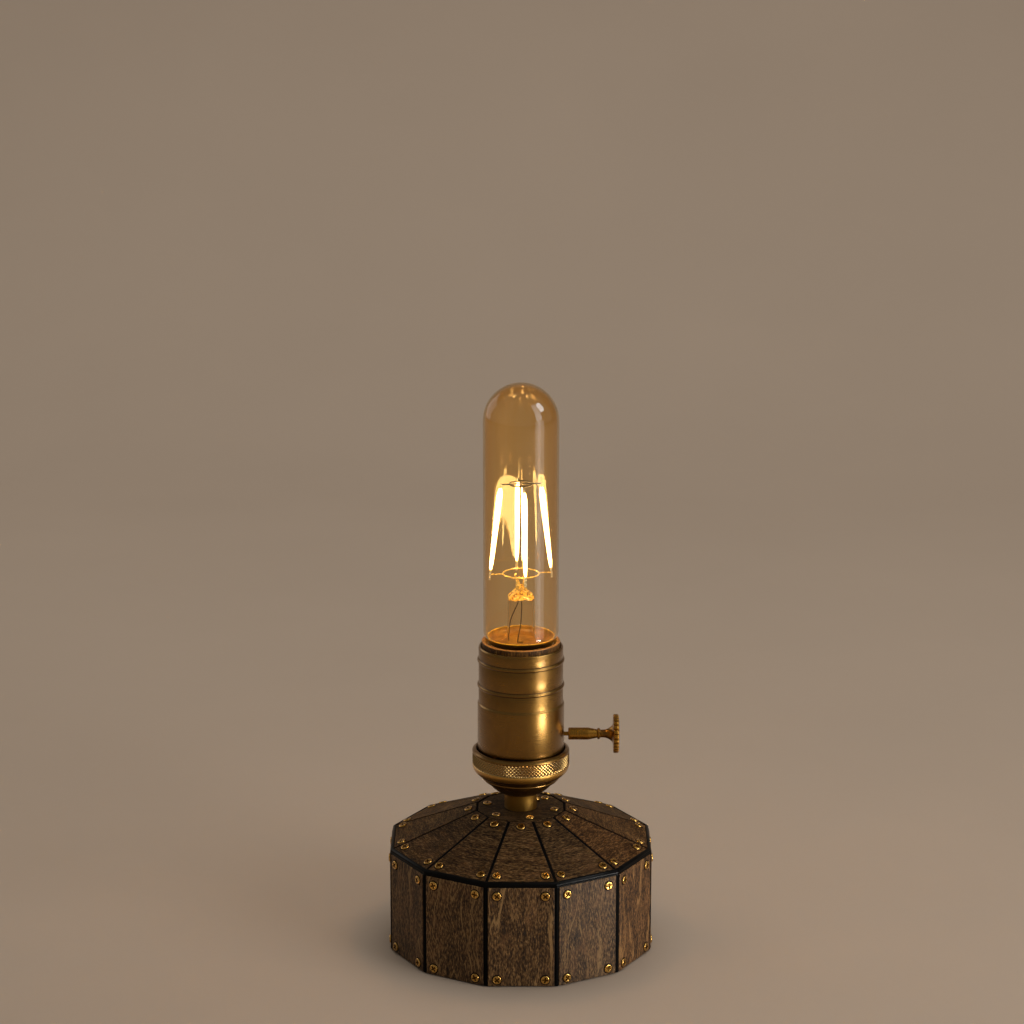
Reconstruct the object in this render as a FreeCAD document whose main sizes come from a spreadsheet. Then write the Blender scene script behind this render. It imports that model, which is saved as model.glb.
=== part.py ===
import FreeCAD, Part
import math
import os
import re
import Sketcher
from FreeCAD import Placement, Rotation, Vector

# Bare bulb table lamp: a 12-sided drum of dark plates on a black carcass, a brass keyed lamp holder and a
# tubular filament bulb. Millimetres, +Z up, the front towards -Y, the switch key towards +X, and the origin
# on the table under the middle of the drum.

# Driving dimensions: name, value, what it is. Diameters and lengths in millimetres.
SIZES = [
    # drum
    ("sides", 12, "sides of the drum"),
    ("base_flats", 105, "drum across opposite side plates"),
    ("foot_gap", 0.4, "wood above the table"),
    ("felt_thickness", 1.4, "felt pad"),
    ("felt_inset", 3.5, "felt pad's edge inside the rebate"),
    ("side_height", 41.05, "side plates, from bottom to top"),
    ("side_plate_thickness", 3, "side plates"),
    ("side_seam", 2, "black seam between two side plates"),
    ("rib_setback", 0.3, "black ribs behind the plates' faces"),
    ("plate_play", 0.05, "gap round a plate in its recess"),
    ("carcass_wall", 8, "drum wall behind the side plates"),
    ("rebate_width", 5, "step in the wall that holds the bottom board"),
    ("board_thickness", 4, "bottom board"),
    ("board_play", 0.1, "gap round the bottom board"),
    # roof
    ("roof_rise", 12.9, "roof from the rim to the centre plate"),
    ("rim_width", 1.65, "rim strip, seen from above"),
    ("rim_lip", 0.35, "upright foot of the rim strip"),
    ("rim_round", 2.2, "radius of the rim strip's round"),
    ("roof_flats", 36, "roof plates' inner ends across flats"),
    ("roof_plate_thickness", 2, "roof plates and centre plate"),
    ("roof_seam", 1.1, "black seam between two roof plates"),
    ("collar_seam", 0.9, "black seam round the centre plate"),
    ("collar_drop", 0.25, "seam's black collar below the plates' faces"),
    ("deck_thickness", 4, "roof deck, measured upright"),
    # small brass screws in the plates
    ("head_diameter", 3.5, "screw head"),
    ("head_crown", 2.4, "flat on top of the head"),
    ("head_rise", 0.6, "head above the plate"),
    ("side_screw_inset", 3.6, "screws from the side plates' side edges"),
    ("top_screw_inset", 3.4, "screws from the side plates' tops"),
    ("foot_screw_inset", 2.7, "screws from the side plates' bottoms"),
    ("roof_screw_inset", 3.3, "screws from the roof plates' seams"),
    ("rim_screw_inset", 2.9, "screws from the roof plates' outer ends"),
    ("inner_screw_inset", 3.1, "screws from the roof plates' inner ends"),
    ("centre_screws", 6, "screws in the centre plate"),
    ("centre_screw_inset", 3.1, "these screws from the centre plate's sides"),
    # screws under the bottom board
    ("board_screws", 4, "screws that hold the bottom board"),
    ("board_shank_width", 2, "shank of these screws"),
    ("board_shank_length", 12, "shank of these screws"),
    ("shank_play", 0.1, "clearance hole round the shank"),
    # cord entry at the rear
    ("gland_height", 12, "axis above the table"),
    ("gland_bore", 6.4, "hole for a cord"),
    ("gland_wall", 1.7, "bushing in the wall"),
    ("gland_flange_width", 1.6, "flange outside"),
    ("gland_flange_thickness", 0.6, "flange outside"),
    ("gland_tail", 3, "bushing past the wall's inner side"),
    ("gland_play", 0.1, "gap round the bushing"),
    # threaded tube that holds the lamp holder
    ("nipple_diameter", 9.9, "threaded tube"),
    ("nipple_wall", 1.45, "threaded tube"),
    ("nipple_short", 0.9, "tube ends below the floor of the holder's hollow"),
    ("nipple_tail", 1.5, "tube below its nut"),
    ("nut_wall", 2.05, "nut, from thread to flat"),
    ("nut_thickness", 3, "nut"),
    ("thread_play", 0.05, "gap between threaded pieces"),
    # mains connection inside the drum
    ("block_length", 20, "terminal block along X"),
    ("block_width", 12, "terminal block along Y"),
    ("block_height", 10, "terminal block"),
    ("wire_width", 1.6, "insulated wire"),
    ("wire_spacing", 3, "between the two wires"),
    # lamp holder: heights are measured from the centre plate up
    ("neck_wall", 1.7, "neck round the tube"),
    ("neck_height", 7.05, "neck"),
    ("bowl_foot_inset", 5, "bowl at the neck's top, in from its widest part"),
    ("bowl_bend_inset", 2.2, "bowl where its wall turns up, in from its widest part"),
    ("bowl_bend_height", 2.2, "this bend above the neck's top"),
    ("bowl_height", 4.5, "bowl below the knurled ring"),
    ("cap_wall", 1.6, "wall round the cap's hollow"),
    ("cap_floor_rise", 4.2, "floor of the hollow above the neck's top"),
    ("collar_step", 1.9, "bowl's wall in from the threaded collar"),
    ("collar_rise", 6.1, "threaded collar's foot above the neck's top"),
    ("collar_length", 4.5, "threaded collar"),
    ("ring_lip_slope", 1.3, "knurled ring's band out from its top"),
    ("ring_foot_rise", 5.05, "ring's lower edge above the neck's top"),
    ("ring_foot_width", 1.2, "ring's lower edge"),
    ("ring_bowl_height", 4.75, "ring's bowl up to its shoulder"),
    ("ring_shoulder_inset", 0.9, "ring's shoulder in from its band"),
    ("ring_shoulder_height", 2.1, "ring's shoulder up to its band"),
    ("ring_height", 13.25, "knurled ring"),
    ("ring_lip_drop", 0.85, "slope from the ring's top out to its band"),
    ("ring_lip_width", 0.35, "ring's top"),
    ("ring_gap", 0.5, "gap between ring and shell"),
    ("shell_wall", 1.65, "shell"),
    ("step_inset", 0.45, "shell's step"),
    ("shell_rest", 1, "shell's lower edge above the collar"),
    ("step_below_bead", 7.8, "step in the shell, below the lower bead"),
    ("step_rise", 0.7, "slope of the step"),
    ("bead_pitch", 10.4, "between the two beads"),
    ("bead_below_edge", 5.75, "upper bead below the shell's upper edge"),
    ("bead_width", 1.8, "beads, measured upright"),
    ("bead_rise", 0.55, "beads above the shell"),
    ("liner_showing", 2.1, "fibre liner above the shell"),
    ("edge_roll", 0.6, "upper edge rolled in"),
    ("liner_wall", 1.3, "fibre liner"),
    ("liner_play", 0.1, "gap between liner and shell"),
    ("liner_gap", 0.55, "gap between contact shell and liner"),
    ("liner_over_cap", 1.1, "liner's upper edge above the bulb's metal cap"),
    ("body_height", 18, "porcelain body"),
    ("body_play", 0.15, "gap between porcelain body and shell"),
    ("socket_play", 0.3, "gap between the bulb's cap and the contact shell"),
    ("screw_shell_wall", 0.35, "contact shell"),
    ("screw_shell_drop", 2.5, "contact shell's upper edge below the shell's"),
    ("contact_width", 5, "centre contact strip"),
    ("contact_thickness", 0.5, "centre contact strip"),
    ("contact_foot", 5, "centre contact's foot on the porcelain"),
    ("contact_rise", 10, "centre contact's leaning leg, along X"),
    ("contact_tongue", 2, "centre contact's level tongue"),
    ("contact_play", 0.1, "centre contact below the bulb's tip"),
    # key switch: lengths are measured out from the holder's axis
    ("key_depth", 4.67, "key's axis below the porcelain body's top"),
    ("spindle_diameter", 1.64, "spindle"),
    ("rotor_diameter", 5, "switch rotor on the spindle"),
    ("rotor_start", 5, "rotor's inner face"),
    ("rotor_length", 4, "rotor"),
    ("spindle_play", 0.06, "running gap round spindle and rotor"),
    ("spindle_hole_play", 0.48, "gap round the spindle in the shell's hole"),
    ("key_gap", 1.65, "between shell and key"),
    ("stem_diameter", 4.9, "key's stem"),
    ("stem_length", 8, "straight part of the stem"),
    ("taper_length", 3.6, "stem's taper"),
    ("taper_diameter", 3.5, "thin end of the taper"),
    ("collar_diameter", 4.5, "small collar on the key"),
    ("key_collar_length", 1.1, "small collar on the key"),
    ("waist_diameter", 3.2, "waist behind the disc"),
    ("waist_length", 1.2, "waist behind the disc"),
    ("flare_diameter", 7, "flare at the disc"),
    ("flare_length", 4, "flare at the disc"),
    ("disc_diameter", 15.6, "fluted disc"),
    ("disc_thickness", 2.4, "fluted disc"),
    ("disc_dish", 0.8, "hollow in the disc's face"),
    ("disc_rim", 1, "rim round the hollow"),
    ("flutes", 24, "notches round the disc"),
    ("flute_width", 1.3, "notches round the disc"),
    ("flute_depth", 0.5, "notches round the disc"),
    ("socket_depth", 3, "spindle in the key"),
    # grub screw in the neck
    ("grub_diameter", 2.8, "grub screw"),
    ("grub_height", 2.7, "above the centre plate"),
    ("grub_bearing", 14, "degrees from +X towards the rear"),
    ("grub_rise", 0.95, "grub screw out of the neck"),
    ("grub_play", 0.05, "gap round the grub screw"),
    ("slot_width", 0.56, "driver slot in the grub screw"),
    ("slot_depth", 0.56, "driver slot in the grub screw"),
    # bulb: heights are measured from the bulb's contact tip up
    ("contact_space", 8.3, "contact tip above the porcelain body"),
    ("bulb_diameter", 30, "glass tube"),
    ("bulb_length", 131, "whole bulb"),
    ("glass_wall", 0.8, "glass"),
    ("glass_foot_inset", 0.2, "glass inside the metal cap's edge"),
    ("shoulder_height", 3.6, "glass above the cap up to its full width"),
    ("tip_diameter", 9.6, "contact tip"),
    ("tip_thickness", 1.6, "contact tip"),
    ("insulator_rim", 0.4, "insulator round the tip"),
    ("insulator_height", 3.4, "insulator from the tip up to the metal cap"),
    ("insulator_lap", 1, "insulator into the metal cap"),
    ("bulb_cap_diameter", 26.2, "metal cap"),
    ("bulb_cap_wall", 0.5, "metal cap"),
    ("bulb_cap_height", 20.2, "metal cap"),
    ("fit_play", 0.1, "gap between pieces of the bulb"),
    ("driver_width", 14, "driver board"),
    ("driver_height", 12, "driver board"),
    ("driver_thickness", 1.6, "driver board"),
    ("stem_play", 0.2, "gap between the stem's flare and the glass"),
    ("flare_lip", 0.7, "upright foot of the flare"),
    ("flare_height", 8.3, "stem's flare"),
    ("stem_tube", 6, "stem tube"),
    ("stem_wall", 0.8, "stem glass"),
    ("tube_height", 8.5, "stem tube above its flare"),
    ("press_height", 6.5, "solid press"),
    ("press_width", 5.6, "press along X"),
    ("press_thickness", 2.2, "press along Y"),
    ("post_width", 1.2, "post that carries the upper ring"),
    ("ring_over_press", 5.4, "lower wire ring above the press"),
    ("lower_ring_diameter", 14.2, "lower wire ring"),
    ("filament_rise", 36.6, "between the two wire rings"),
    ("upper_ring_diameter", 9, "upper wire ring"),
    ("support_wire", 0.6, "wire of the rings"),
    ("filaments", 4, "filaments"),
    ("filament_turn", 8, "degrees that the filaments are turned by"),
    ("filament_width", 2.2, "filament"),
    ("filament_clearance", 1.9, "filaments' lower ends from the glass"),
    ("filament_lean", 4.3, "filaments' upper ends in from their lower ends"),
    ("tab_length", 1.6, "metal end of a filament"),
    ("tab_width", 0.9, "metal end of a filament"),
    ("lead_width", 0.5, "lead wires in the stem"),
    ("lead_spacing", 2.4, "between the lead wires"),
]

# Sides of the small pieces that are made without round faces.
HEAD_SIDES = 8
WIRE_SIDES = 6

# Lengths that follow from the sizes above, as formulas of them.
DERIVED = {
    "side_top": "foot_gap + side_height",
    "face": "base_flats / 2",
    "recess_floor": "face - side_plate_thickness",
    "wall_inside": "recess_floor - carcass_wall",
    "rebate": "wall_inside + rebate_width",
    "board_top": "felt_thickness + board_thickness",
    "side_plate_half": "face * tan(180 / sides) - side_seam / 2",
    "roof_outer": "face - rim_width",
    "roof_inner": "roof_flats / 2",
    "roof_slope": "roof_rise / (roof_outer - roof_inner)",
    "roof_depth": "roof_plate_thickness * sqrt(1 + roof_slope * roof_slope)",
    "rim_top": "side_top + roof_depth",
    "deck_top": "side_top + roof_rise",
    "holder_foot": "deck_top + roof_plate_thickness",
    "nut_top": "deck_top - deck_thickness",
    "nut_foot": "nut_top - nut_thickness",
    "nipple_foot": "nut_foot - nipple_tail",
    "key_axis": "holder_foot + key_height",
    "key_end": "stem_start + stem_length + taper_length",
    "waist_start": "key_end + key_collar_length",
    "flare_start": "waist_start + waist_length",
    "disc_start": "flare_start + flare_length",
    "disc_end": "disc_start + disc_thickness",
    "bulb_foot": "holder_foot + bulb_seat",
    "bulb_radius": "bulb_diameter / 2",
    "dome_foot": "bulb_length - bulb_radius",
    "inner_radius": "bulb_radius - glass_wall",
    "centre_screw_circle": "roof_flats - 2 * (collar_seam + centre_screw_inset)",
    "gland_diameter": "gland_bore + 2 * gland_wall",
    "gland_flange": "gland_diameter + 2 * gland_flange_width",
    "nipple_bore": "nipple_diameter - 2 * nipple_wall",
    "nut_flats": "nipple_diameter + 2 * nut_wall",
    "neck_diameter": "nipple_diameter + 2 * neck_wall",
    "bowl_diameter": "shell_bore - 2 * collar_step",
    "bowl_foot": "bowl_diameter - 2 * bowl_foot_inset",
    "bowl_bend": "bowl_diameter - 2 * bowl_bend_inset",
    "cap_bore": "bowl_diameter - 2 * cap_wall",
    "cap_floor": "neck_height + cap_floor_rise",
    "nipple_top": "cap_floor - nipple_short",
    "collar_foot": "neck_height + collar_rise",
    "collar_top": "collar_foot + collar_length",
    "ring_foot": "neck_height + ring_foot_rise",
    "ring_foot_diameter": "bowl_diameter + 2 * ring_foot_width",
    "ring_shoulder": "ring_foot + ring_bowl_height",
    "ring_shoulder_diameter": "ring_diameter - 2 * ring_shoulder_inset",
    "ring_band": "ring_shoulder + ring_shoulder_height",
    "ring_top": "ring_foot + ring_height",
    "ring_lip_diameter": "shell_diameter + 2 * (ring_gap + ring_lip_width)",
    "ring_diameter": "ring_lip_diameter + 2 * ring_lip_slope",
    "screw_shell_bore": "bulb_cap_diameter + 2 * socket_play",
    "liner_bore": "screw_shell_bore + 2 * (screw_shell_wall + liner_gap)",
    "liner_diameter": "liner_bore + 2 * liner_wall",
    "shell_bore": "liner_diameter + 2 * liner_play",
    "shell_diameter": "shell_bore + 2 * shell_wall",
    "shell_upper_diameter": "shell_diameter - 2 * step_inset",
    "body_diameter": "shell_bore - 2 * body_play",
    "body_top": "collar_top + body_height",
    "bulb_seat": "body_top + contact_space",
    "liner_top": "bulb_seat + bulb_cap_top + liner_over_cap",
    "shell_seat": "collar_top + shell_rest",
    "shell_top": "liner_top - liner_showing",
    "upper_bead_height": "shell_top - bead_below_edge",
    "lower_bead_height": "upper_bead_height - bead_pitch",
    "step_height": "lower_bead_height - step_below_bead",
    "screw_shell_top": "shell_top - screw_shell_drop",
    "key_height": "body_top - key_depth",
    "spindle_hole": "spindle_diameter + 2 * spindle_hole_play",
    "stem_start": "shell_diameter / 2 + key_gap",
    "grub_reach": "neck_diameter / 2 + grub_rise",
    "glass_foot_diameter": "bulb_cap_diameter - 2 * glass_foot_inset",
    "insulator_foot": "tip_diameter + 2 * insulator_rim",
    "cap_foot": "tip_thickness + insulator_height",
    "insulator_top": "cap_foot + insulator_lap",
    "bulb_cap_top": "cap_foot + bulb_cap_height",
    "shoulder_top": "bulb_cap_top + shoulder_height",
    "flare_foot": "glass_foot_diameter - 2 * (glass_wall + stem_play)",
    "flare_top": "bulb_cap_top + flare_height",
    "press_foot": "flare_top + tube_height",
    "press_top": "press_foot + press_height",
    "lower_ring_height": "press_top + ring_over_press",
    "upper_ring_height": "lower_ring_height + filament_rise",
    "filament_foot": "inner_radius - filament_clearance",
    "filament_head": "filament_foot - filament_lean",
}

os.makedirs("parts", exist_ok=True)
doc = FreeCAD.newDocument("bare_bulb_table_lamp")
sheet = doc.addObject("Spreadsheet::Sheet", "Sizes")
for row, (alias, number, meaning) in enumerate(SIZES, start=1):
    sheet.set(f"A{row}", meaning)
    sheet.set(f"B{row}", str(number))
    sheet.setAlias(f"B{row}", alias)
doc.recompute()
ALIASES = {alias for alias, number, meaning in SIZES}
PARTS = []


def formula(text):
    """The text with each size written as its cell and each derived length written out."""

    def written_out(match):
        word = match.group(0)
        if word in DERIVED:
            return f"({formula(DERIVED[word])})"
        return f"Sizes.{word}" if word in ALIASES else word

    return re.sub(r"[a-z_]+", written_out, text)


def value(text):
    return float(sheet.evalExpression(formula(text)))


def count(text):
    return int(round(value(text)))


# ---- sketches and features ----


def new_body(node):
    body = doc.addObject("PartDesign::Body", node)
    body.Label = node
    PARTS.append(body)
    return body


def new_sketch(body, name, role="XY_Plane", lift=None, turn=None):
    """A sketch on one of the body's own planes, lifted along its normal or turned about its upright axis."""
    sketch = body.newObject("Sketcher::SketchObject", name)
    plane = next(f for f in body.Origin.OriginFeatures if f.Role == role)
    sketch.AttachmentSupport = [(plane, "")]
    sketch.MapMode = "FlatFace"
    if turn:
        sketch.AttachmentOffset = Placement(Vector(), Rotation(Vector(0, 1, 0), value(turn)))
        sketch.setExpression("AttachmentOffset.Rotation.Angle", formula(turn))
    if lift:
        sketch.setExpression("AttachmentOffset.Base.z", formula(lift))
    return sketch


def pin_down(sketch, side, end, axis, text):
    """Holds one end of a side at the distance from the sketch's origin that the text gives."""
    if text == "0":
        on_axis = -2 if axis == "X" else -1
        sketch.addConstraint(Sketcher.Constraint("PointOnObject", side, end, on_axis))
        return
    held = Sketcher.Constraint(f"Distance{axis}", -1, 1, side, end, value(text))
    index = sketch.addConstraint(held)
    sketch.setExpression(f"Constraints[{index}]", formula(text))


def draw_loop(sketch, corners, arcs=()):
    """A closed loop, anticlockwise, through corners given as (x text, y text).

    arcs maps the number of a side to its radius text; that side bulges out of the loop.
    """
    arcs = dict(arcs)
    points = [Vector(value(x), value(y), 0) for x, y in corners]
    sides = []
    for number, start in enumerate(points):
        end = points[(number + 1) % len(points)]
        if number in arcs:
            shape = bulging_arc(start, end, value(arcs[number]))
        else:
            shape = Part.LineSegment(start, end)
        sides.append(sketch.addGeometry(shape, False))
    for number, side in enumerate(sides):
        follower = sides[(number + 1) % len(sides)]
        sketch.addConstraint(Sketcher.Constraint("Coincident", side, 2, follower, 1))
        pin_down(sketch, side, 1, "X", corners[number][0])
        pin_down(sketch, side, 1, "Y", corners[number][1])
        if number in arcs:
            held = Sketcher.Constraint("Radius", side, value(arcs[number]))
            index = sketch.addConstraint(held)
            sketch.setExpression(f"Constraints[{index}]", formula(arcs[number]))


def bulging_arc(start, end, radius):
    """The short arc, anticlockwise from start to end, with its centre on the left of the chord."""
    chord = end - start
    reach = math.sqrt(max(radius**2 - (chord.Length / 2) ** 2, 0))
    centre = (start + end) * 0.5 + Vector(-chord.y, chord.x, 0).normalize() * reach
    turns = [math.atan2(point.y - centre.y, point.x - centre.x) for point in (start, end)]
    return Part.ArcOfCircle(Part.Circle(centre, Vector(0, 0, 1), radius), *turns)


def polygon(apothem, corners="sides"):
    """Corners of a regular polygon with one flat facing +X."""
    reach = f"({apothem}) / cos(180 / {corners})"
    turns = [f"({2 * number + 1} * 180 / {corners})" for number in range(count(corners))]
    return [(f"{reach} * cos{turn}", f"{reach} * sin{turn}") for turn in turns]


def rectangle(x_low, x_high, y_low, y_high):
    return [(x_low, y_low), (x_high, y_low), (x_high, y_high), (x_low, y_high)]


def draw_circle(sketch, diameter, x="0", y="0"):
    centre = Vector(value(x), value(y), 0)
    circle = sketch.addGeometry(Part.Circle(centre, Vector(0, 0, 1), value(diameter) / 2), False)
    index = sketch.addConstraint(Sketcher.Constraint("Radius", circle, value(diameter) / 2))
    sketch.setExpression(f"Constraints[{index}]", formula(f"({diameter}) / 2"))
    pin_down(sketch, circle, 3, "X", x)
    pin_down(sketch, circle, 3, "Y", y)


def pad(body, sketch, name, length, symmetric=False):
    feature = body.newObject("PartDesign::Pad", name)
    feature.Profile = (sketch, [""])
    feature.setExpression("Length", formula(length))
    feature.SideType = "Symmetric" if symmetric else "One side"
    return feature


def cut_through(body, sketch, name):
    """Cuts the sketch out on both sides of its plane, through everything."""
    feature = body.newObject("PartDesign::Pocket", name)
    feature.Profile = (sketch, [""])
    feature.SideType = "Symmetric"
    feature.Type = "ThroughAll"
    return feature


def cut_up(body, sketch, name, depth):
    """Cuts the sketch out along its plane's normal, to a depth."""
    feature = body.newObject("PartDesign::Pocket", name)
    feature.Profile = (sketch, [""])
    feature.Reversed = True
    feature.setExpression("Length", formula(depth))
    return feature


def repeat_round(body, feature, name, copies, axis="Z_Axis"):
    """Repeats a feature in a full turn round one of the body's own axes."""
    pattern = body.newObject("PartDesign::PolarPattern", name)
    pattern.Originals = [feature]
    pattern.Axis = (next(f for f in body.Origin.OriginFeatures if f.Role == axis), [""])
    pattern.Angle = 360
    pattern.setExpression("Occurrences", formula(copies))
    body.Tip = pattern
    return pattern


def revolve(body, sketch, name="Turned", axis="V_Axis"):
    feature = body.newObject("PartDesign::Revolution", name)
    feature.Profile = (sketch, [""])
    feature.ReferenceAxis = (sketch, [axis])
    feature.Angle = 360
    return feature


def turned_body(node, corners, arcs=(), axis="V_Axis"):
    """A piece turned from one section: about Z, or with H_Axis about X."""
    body = new_body(node)
    sketch = new_sketch(body, "Section", "XZ_Plane")
    draw_loop(sketch, corners, arcs)
    revolve(body, sketch, axis=axis)
    return body


def polygon_ring(body, section, spine_apothem, arcs=()):
    """Sweeps a section round the drum's outline, with mitred corners."""
    spine = new_sketch(body, "Outline")
    draw_loop(spine, polygon(spine_apothem))
    profile = new_sketch(body, "Section", "XZ_Plane")
    draw_loop(profile, section, arcs)
    pipe = body.newObject("PartDesign::AdditivePipe", "MitredRing")
    pipe.Profile = (profile, [""])
    pipe.Spine = (spine, [f"Edge{number + 1}" for number in range(count("sides"))])
    pipe.Transition = "Right corner"
    return pipe


def place(body, lift=None, turn=None):
    """Lifts a body to a height, or turns it about Z by degrees."""
    if turn:
        body.Placement = Placement(Vector(), Rotation(Vector(0, 0, 1), value(turn)))
        body.setExpression("Placement.Rotation.Angle", formula(turn))
    if lift:
        body.setExpression("Placement.Base.z", formula(lift))


def prism_body(node, corners, lift, length, holes=()):
    """An upright prism with round holes given as (diameter text, x text, y text)."""
    body = new_body(node)
    sketch = new_sketch(body, "Outline", lift=lift)
    draw_loop(sketch, corners)
    for diameter, x, y in holes:
        draw_circle(sketch, diameter, x, y)
    pad(body, sketch, "Prism", length)
    return body


def bearing(number):
    """The way that side number faces, in degrees: side 1 is the front, and they go round anticlockwise."""
    return f"(360 / sides * {number - 1} - 90)"


def gland_hole(body):
    """Round hole for the cord's bushing, through what faces +Y in the body's own frame."""
    sketch = new_sketch(body, "GlandHole", "XZ_Plane", lift="-recess_floor + carcass_wall / 2")
    draw_circle(sketch, "gland_diameter + 2 * gland_play", "0", "gland_height")
    hole = body.newObject("PartDesign::Pocket", "GlandBore")
    hole.Profile = (sketch, [""])
    hole.SideType = "Symmetric"
    hole.setExpression("Length", formula("2 * (carcass_wall + side_plate_thickness)"))
    return hole


# ---- drum ----


def make_drum_wall():
    """Black carcass: a ring with a recess for each side plate, whose ribs show as the upright seams."""
    body = new_body("drum_wall")
    outline = new_sketch(body, "Outline", lift="foot_gap")
    draw_loop(outline, polygon("face - rib_setback"))
    draw_loop(outline, polygon("wall_inside"))
    pad(body, outline, "Ring", "side_height")
    step = new_sketch(body, "Rebate", lift="foot_gap")
    draw_loop(step, polygon("rebate"))
    cut_up(body, step, "BoardRebate", "board_top - foot_gap")
    recess = new_sketch(body, "Recess", lift="foot_gap")
    half = "side_plate_half + plate_play"
    draw_loop(recess, rectangle("recess_floor", "face + rib_setback", f"-({half})", half))
    cut = cut_through(body, recess, "PlateRecess")
    repeat_round(body, cut, "PlateRecesses", "sides")
    pilots = new_sketch(body, "Pilots", lift="board_top")
    for x, y in board_screw_places():
        draw_loop(pilots, screw_square(x, y, "board_shank_width / 2"))
    depth = "board_shank_length - board_thickness"
    cut_up(body, pilots, "BoardScrewPilots", depth)
    gland_hole(body)
    doc.recompute()


def make_side_plate(number):
    body = new_body(f"side_plate_{number:02d}")
    outline = new_sketch(body, "Outline", lift="foot_gap")
    draw_loop(outline, rectangle("recess_floor", "face", "-(side_plate_half)", "side_plate_half"))
    pad(body, outline, "Plate", "side_height")
    if number == rear_side():
        sketch = new_sketch(body, "GlandHole", "YZ_Plane", lift="recess_floor")
        draw_circle(sketch, "gland_diameter + 2 * gland_play", "0", "gland_height")
        cut_through(body, sketch, "GlandBore")
    place(body, turn=bearing(number))


def make_roof_plate(number):
    """A plate of the sloping roof, tapered between its two seams."""
    body = new_body(f"roof_plate_{number:02d}")
    section = new_sketch(body, "Section", "XZ_Plane")
    slab = [
        ("roof_inner", "deck_top"),
        ("roof_outer", "side_top"),
        ("roof_outer", "rim_top"),
        ("roof_inner", "deck_top + roof_depth"),
    ]
    draw_loop(section, slab)
    pad(body, section, "Slab", "2 * roof_outer * tan(180 / sides)", symmetric=True)
    seams = new_sketch(body, "Seams")
    half = "tan(180 / sides) - roof_seam / 2 / cos(180 / sides)"
    inner, outer = "roof_inner - rim_width", "roof_outer + rim_width"
    inner_half, outer_half = f"({inner}) * {half}", f"({outer}) * {half}"
    draw_loop(seams, [(inner, inner_half), (outer, outer_half), (outer, "face"), (inner, "face")])
    mirrored = [
        (inner, f"-({inner_half})"),
        (inner, "-(face)"),
        (outer, "-(face)"),
        (outer, f"-({outer_half})"),
    ]
    draw_loop(seams, mirrored)
    cut_through(body, seams, "SeamCuts")
    place(body, turn=bearing(number))


def make_roof_deck():
    """Black deck under the roof plates, with ribs in the seams and a collar round the centre plate."""
    body = new_body("roof_deck")
    hole = "nipple_diameter / 4"
    collar_outside = "roof_inner - plate_play"
    collar_inside = "roof_inner - collar_seam + plate_play"
    collar_top = "deck_top + roof_plate_thickness - collar_drop"
    underside = "roof_outer - deck_thickness / roof_slope"
    section = [
        (hole, "deck_top - deck_thickness"),
        ("roof_inner", "deck_top - deck_thickness"),
        (underside, "side_top"),
        ("roof_outer", "side_top"),
        ("roof_inner", "deck_top"),
        (collar_outside, "deck_top"),
        (collar_outside, collar_top),
        (collar_inside, collar_top),
        (collar_inside, "deck_top"),
        (hole, "deck_top"),
    ]
    polygon_ring(body, section, "roof_outer")
    rib = new_sketch(body, "Rib", "XZ_Plane", turn="180 / sides")
    corner = "cos(180 / sides)"
    rib_in = f"(roof_inner - collar_seam / 2) / {corner}"
    rib_out = f"(roof_outer / {corner} - roof_seam / 2 * tan(180 / sides))"
    inner_top = "deck_top + roof_depth - collar_drop"
    rib_section = [
        (rib_in, "deck_top - deck_thickness / 2"),
        (f"(roof_outer - deck_thickness / 2 / roof_slope) / {corner}", "side_top"),
        (rib_out, "side_top"),
        (rib_out, "rim_top - rib_setback"),
        (f"roof_inner / {corner}", inner_top),
        (rib_in, inner_top),
    ]
    draw_loop(rib, rib_section)
    raised = pad(body, rib, "Rib", "roof_seam - 2 * plate_play", symmetric=True)
    repeat_round(body, raised, "Ribs", "sides")
    bore = new_sketch(body, "Bore")
    draw_circle(bore, "nipple_diameter + 2 * thread_play")
    cut_through(body, bore, "NippleBore")


def make_rim_band():
    """Glossy black strip round the edge between sides and roof."""
    body = new_body("rim_band")
    inner = "roof_outer + plate_play"
    outer = "face - rib_setback"
    section = [
        (inner, "side_top"),
        (outer, "side_top"),
        (outer, "side_top + rim_lip"),
        (inner, "rim_top"),
    ]
    polygon_ring(body, section, "roof_outer", arcs={2: "rim_round"})


def make_centre_plate():
    outline = polygon("roof_inner - collar_seam")
    bore = ("nipple_diameter + 2 * thread_play", "0", "0")
    prism_body("centre_plate", outline, "deck_top", "roof_plate_thickness", [bore])


def board_screw_places():
    """Screws through the bottom board, in the middle of the wall's rebate."""
    circle = "(wall_inside + rebate) / 2"
    turns = [f"({2 * number + 1} * 180 / board_screws)" for number in range(count("board_screws"))]
    return [(f"{circle} * cos{turn}", f"{circle} * sin{turn}") for turn in turns]


def screw_square(x, y, half):
    return rectangle(f"{x} - {half}", f"{x} + {half}", f"{y} - {half}", f"{y} + {half}")


def make_bottom_board():
    body = new_body("bottom_board")
    outline = new_sketch(body, "Outline", lift="felt_thickness")
    draw_loop(outline, polygon("rebate - board_play"))
    for x, y in board_screw_places():
        draw_loop(outline, screw_square(x, y, "(board_shank_width / 2 + shank_play)"))
    pad(body, outline, "Board", "board_thickness")


def make_felt_pad():
    prism_body("felt_pad", polygon("wall_inside - felt_inset"), None, "felt_thickness")


# ---- screws ----


def rear_side():
    return 1 + count("sides") // 2


def ring_of_points(diameter, height, corners):
    radius = diameter / 2
    turns = [2 * math.pi * number / corners for number in range(corners)]
    return [Vector(radius * math.cos(turn), radius * math.sin(turn), height) for turn in turns]


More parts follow.
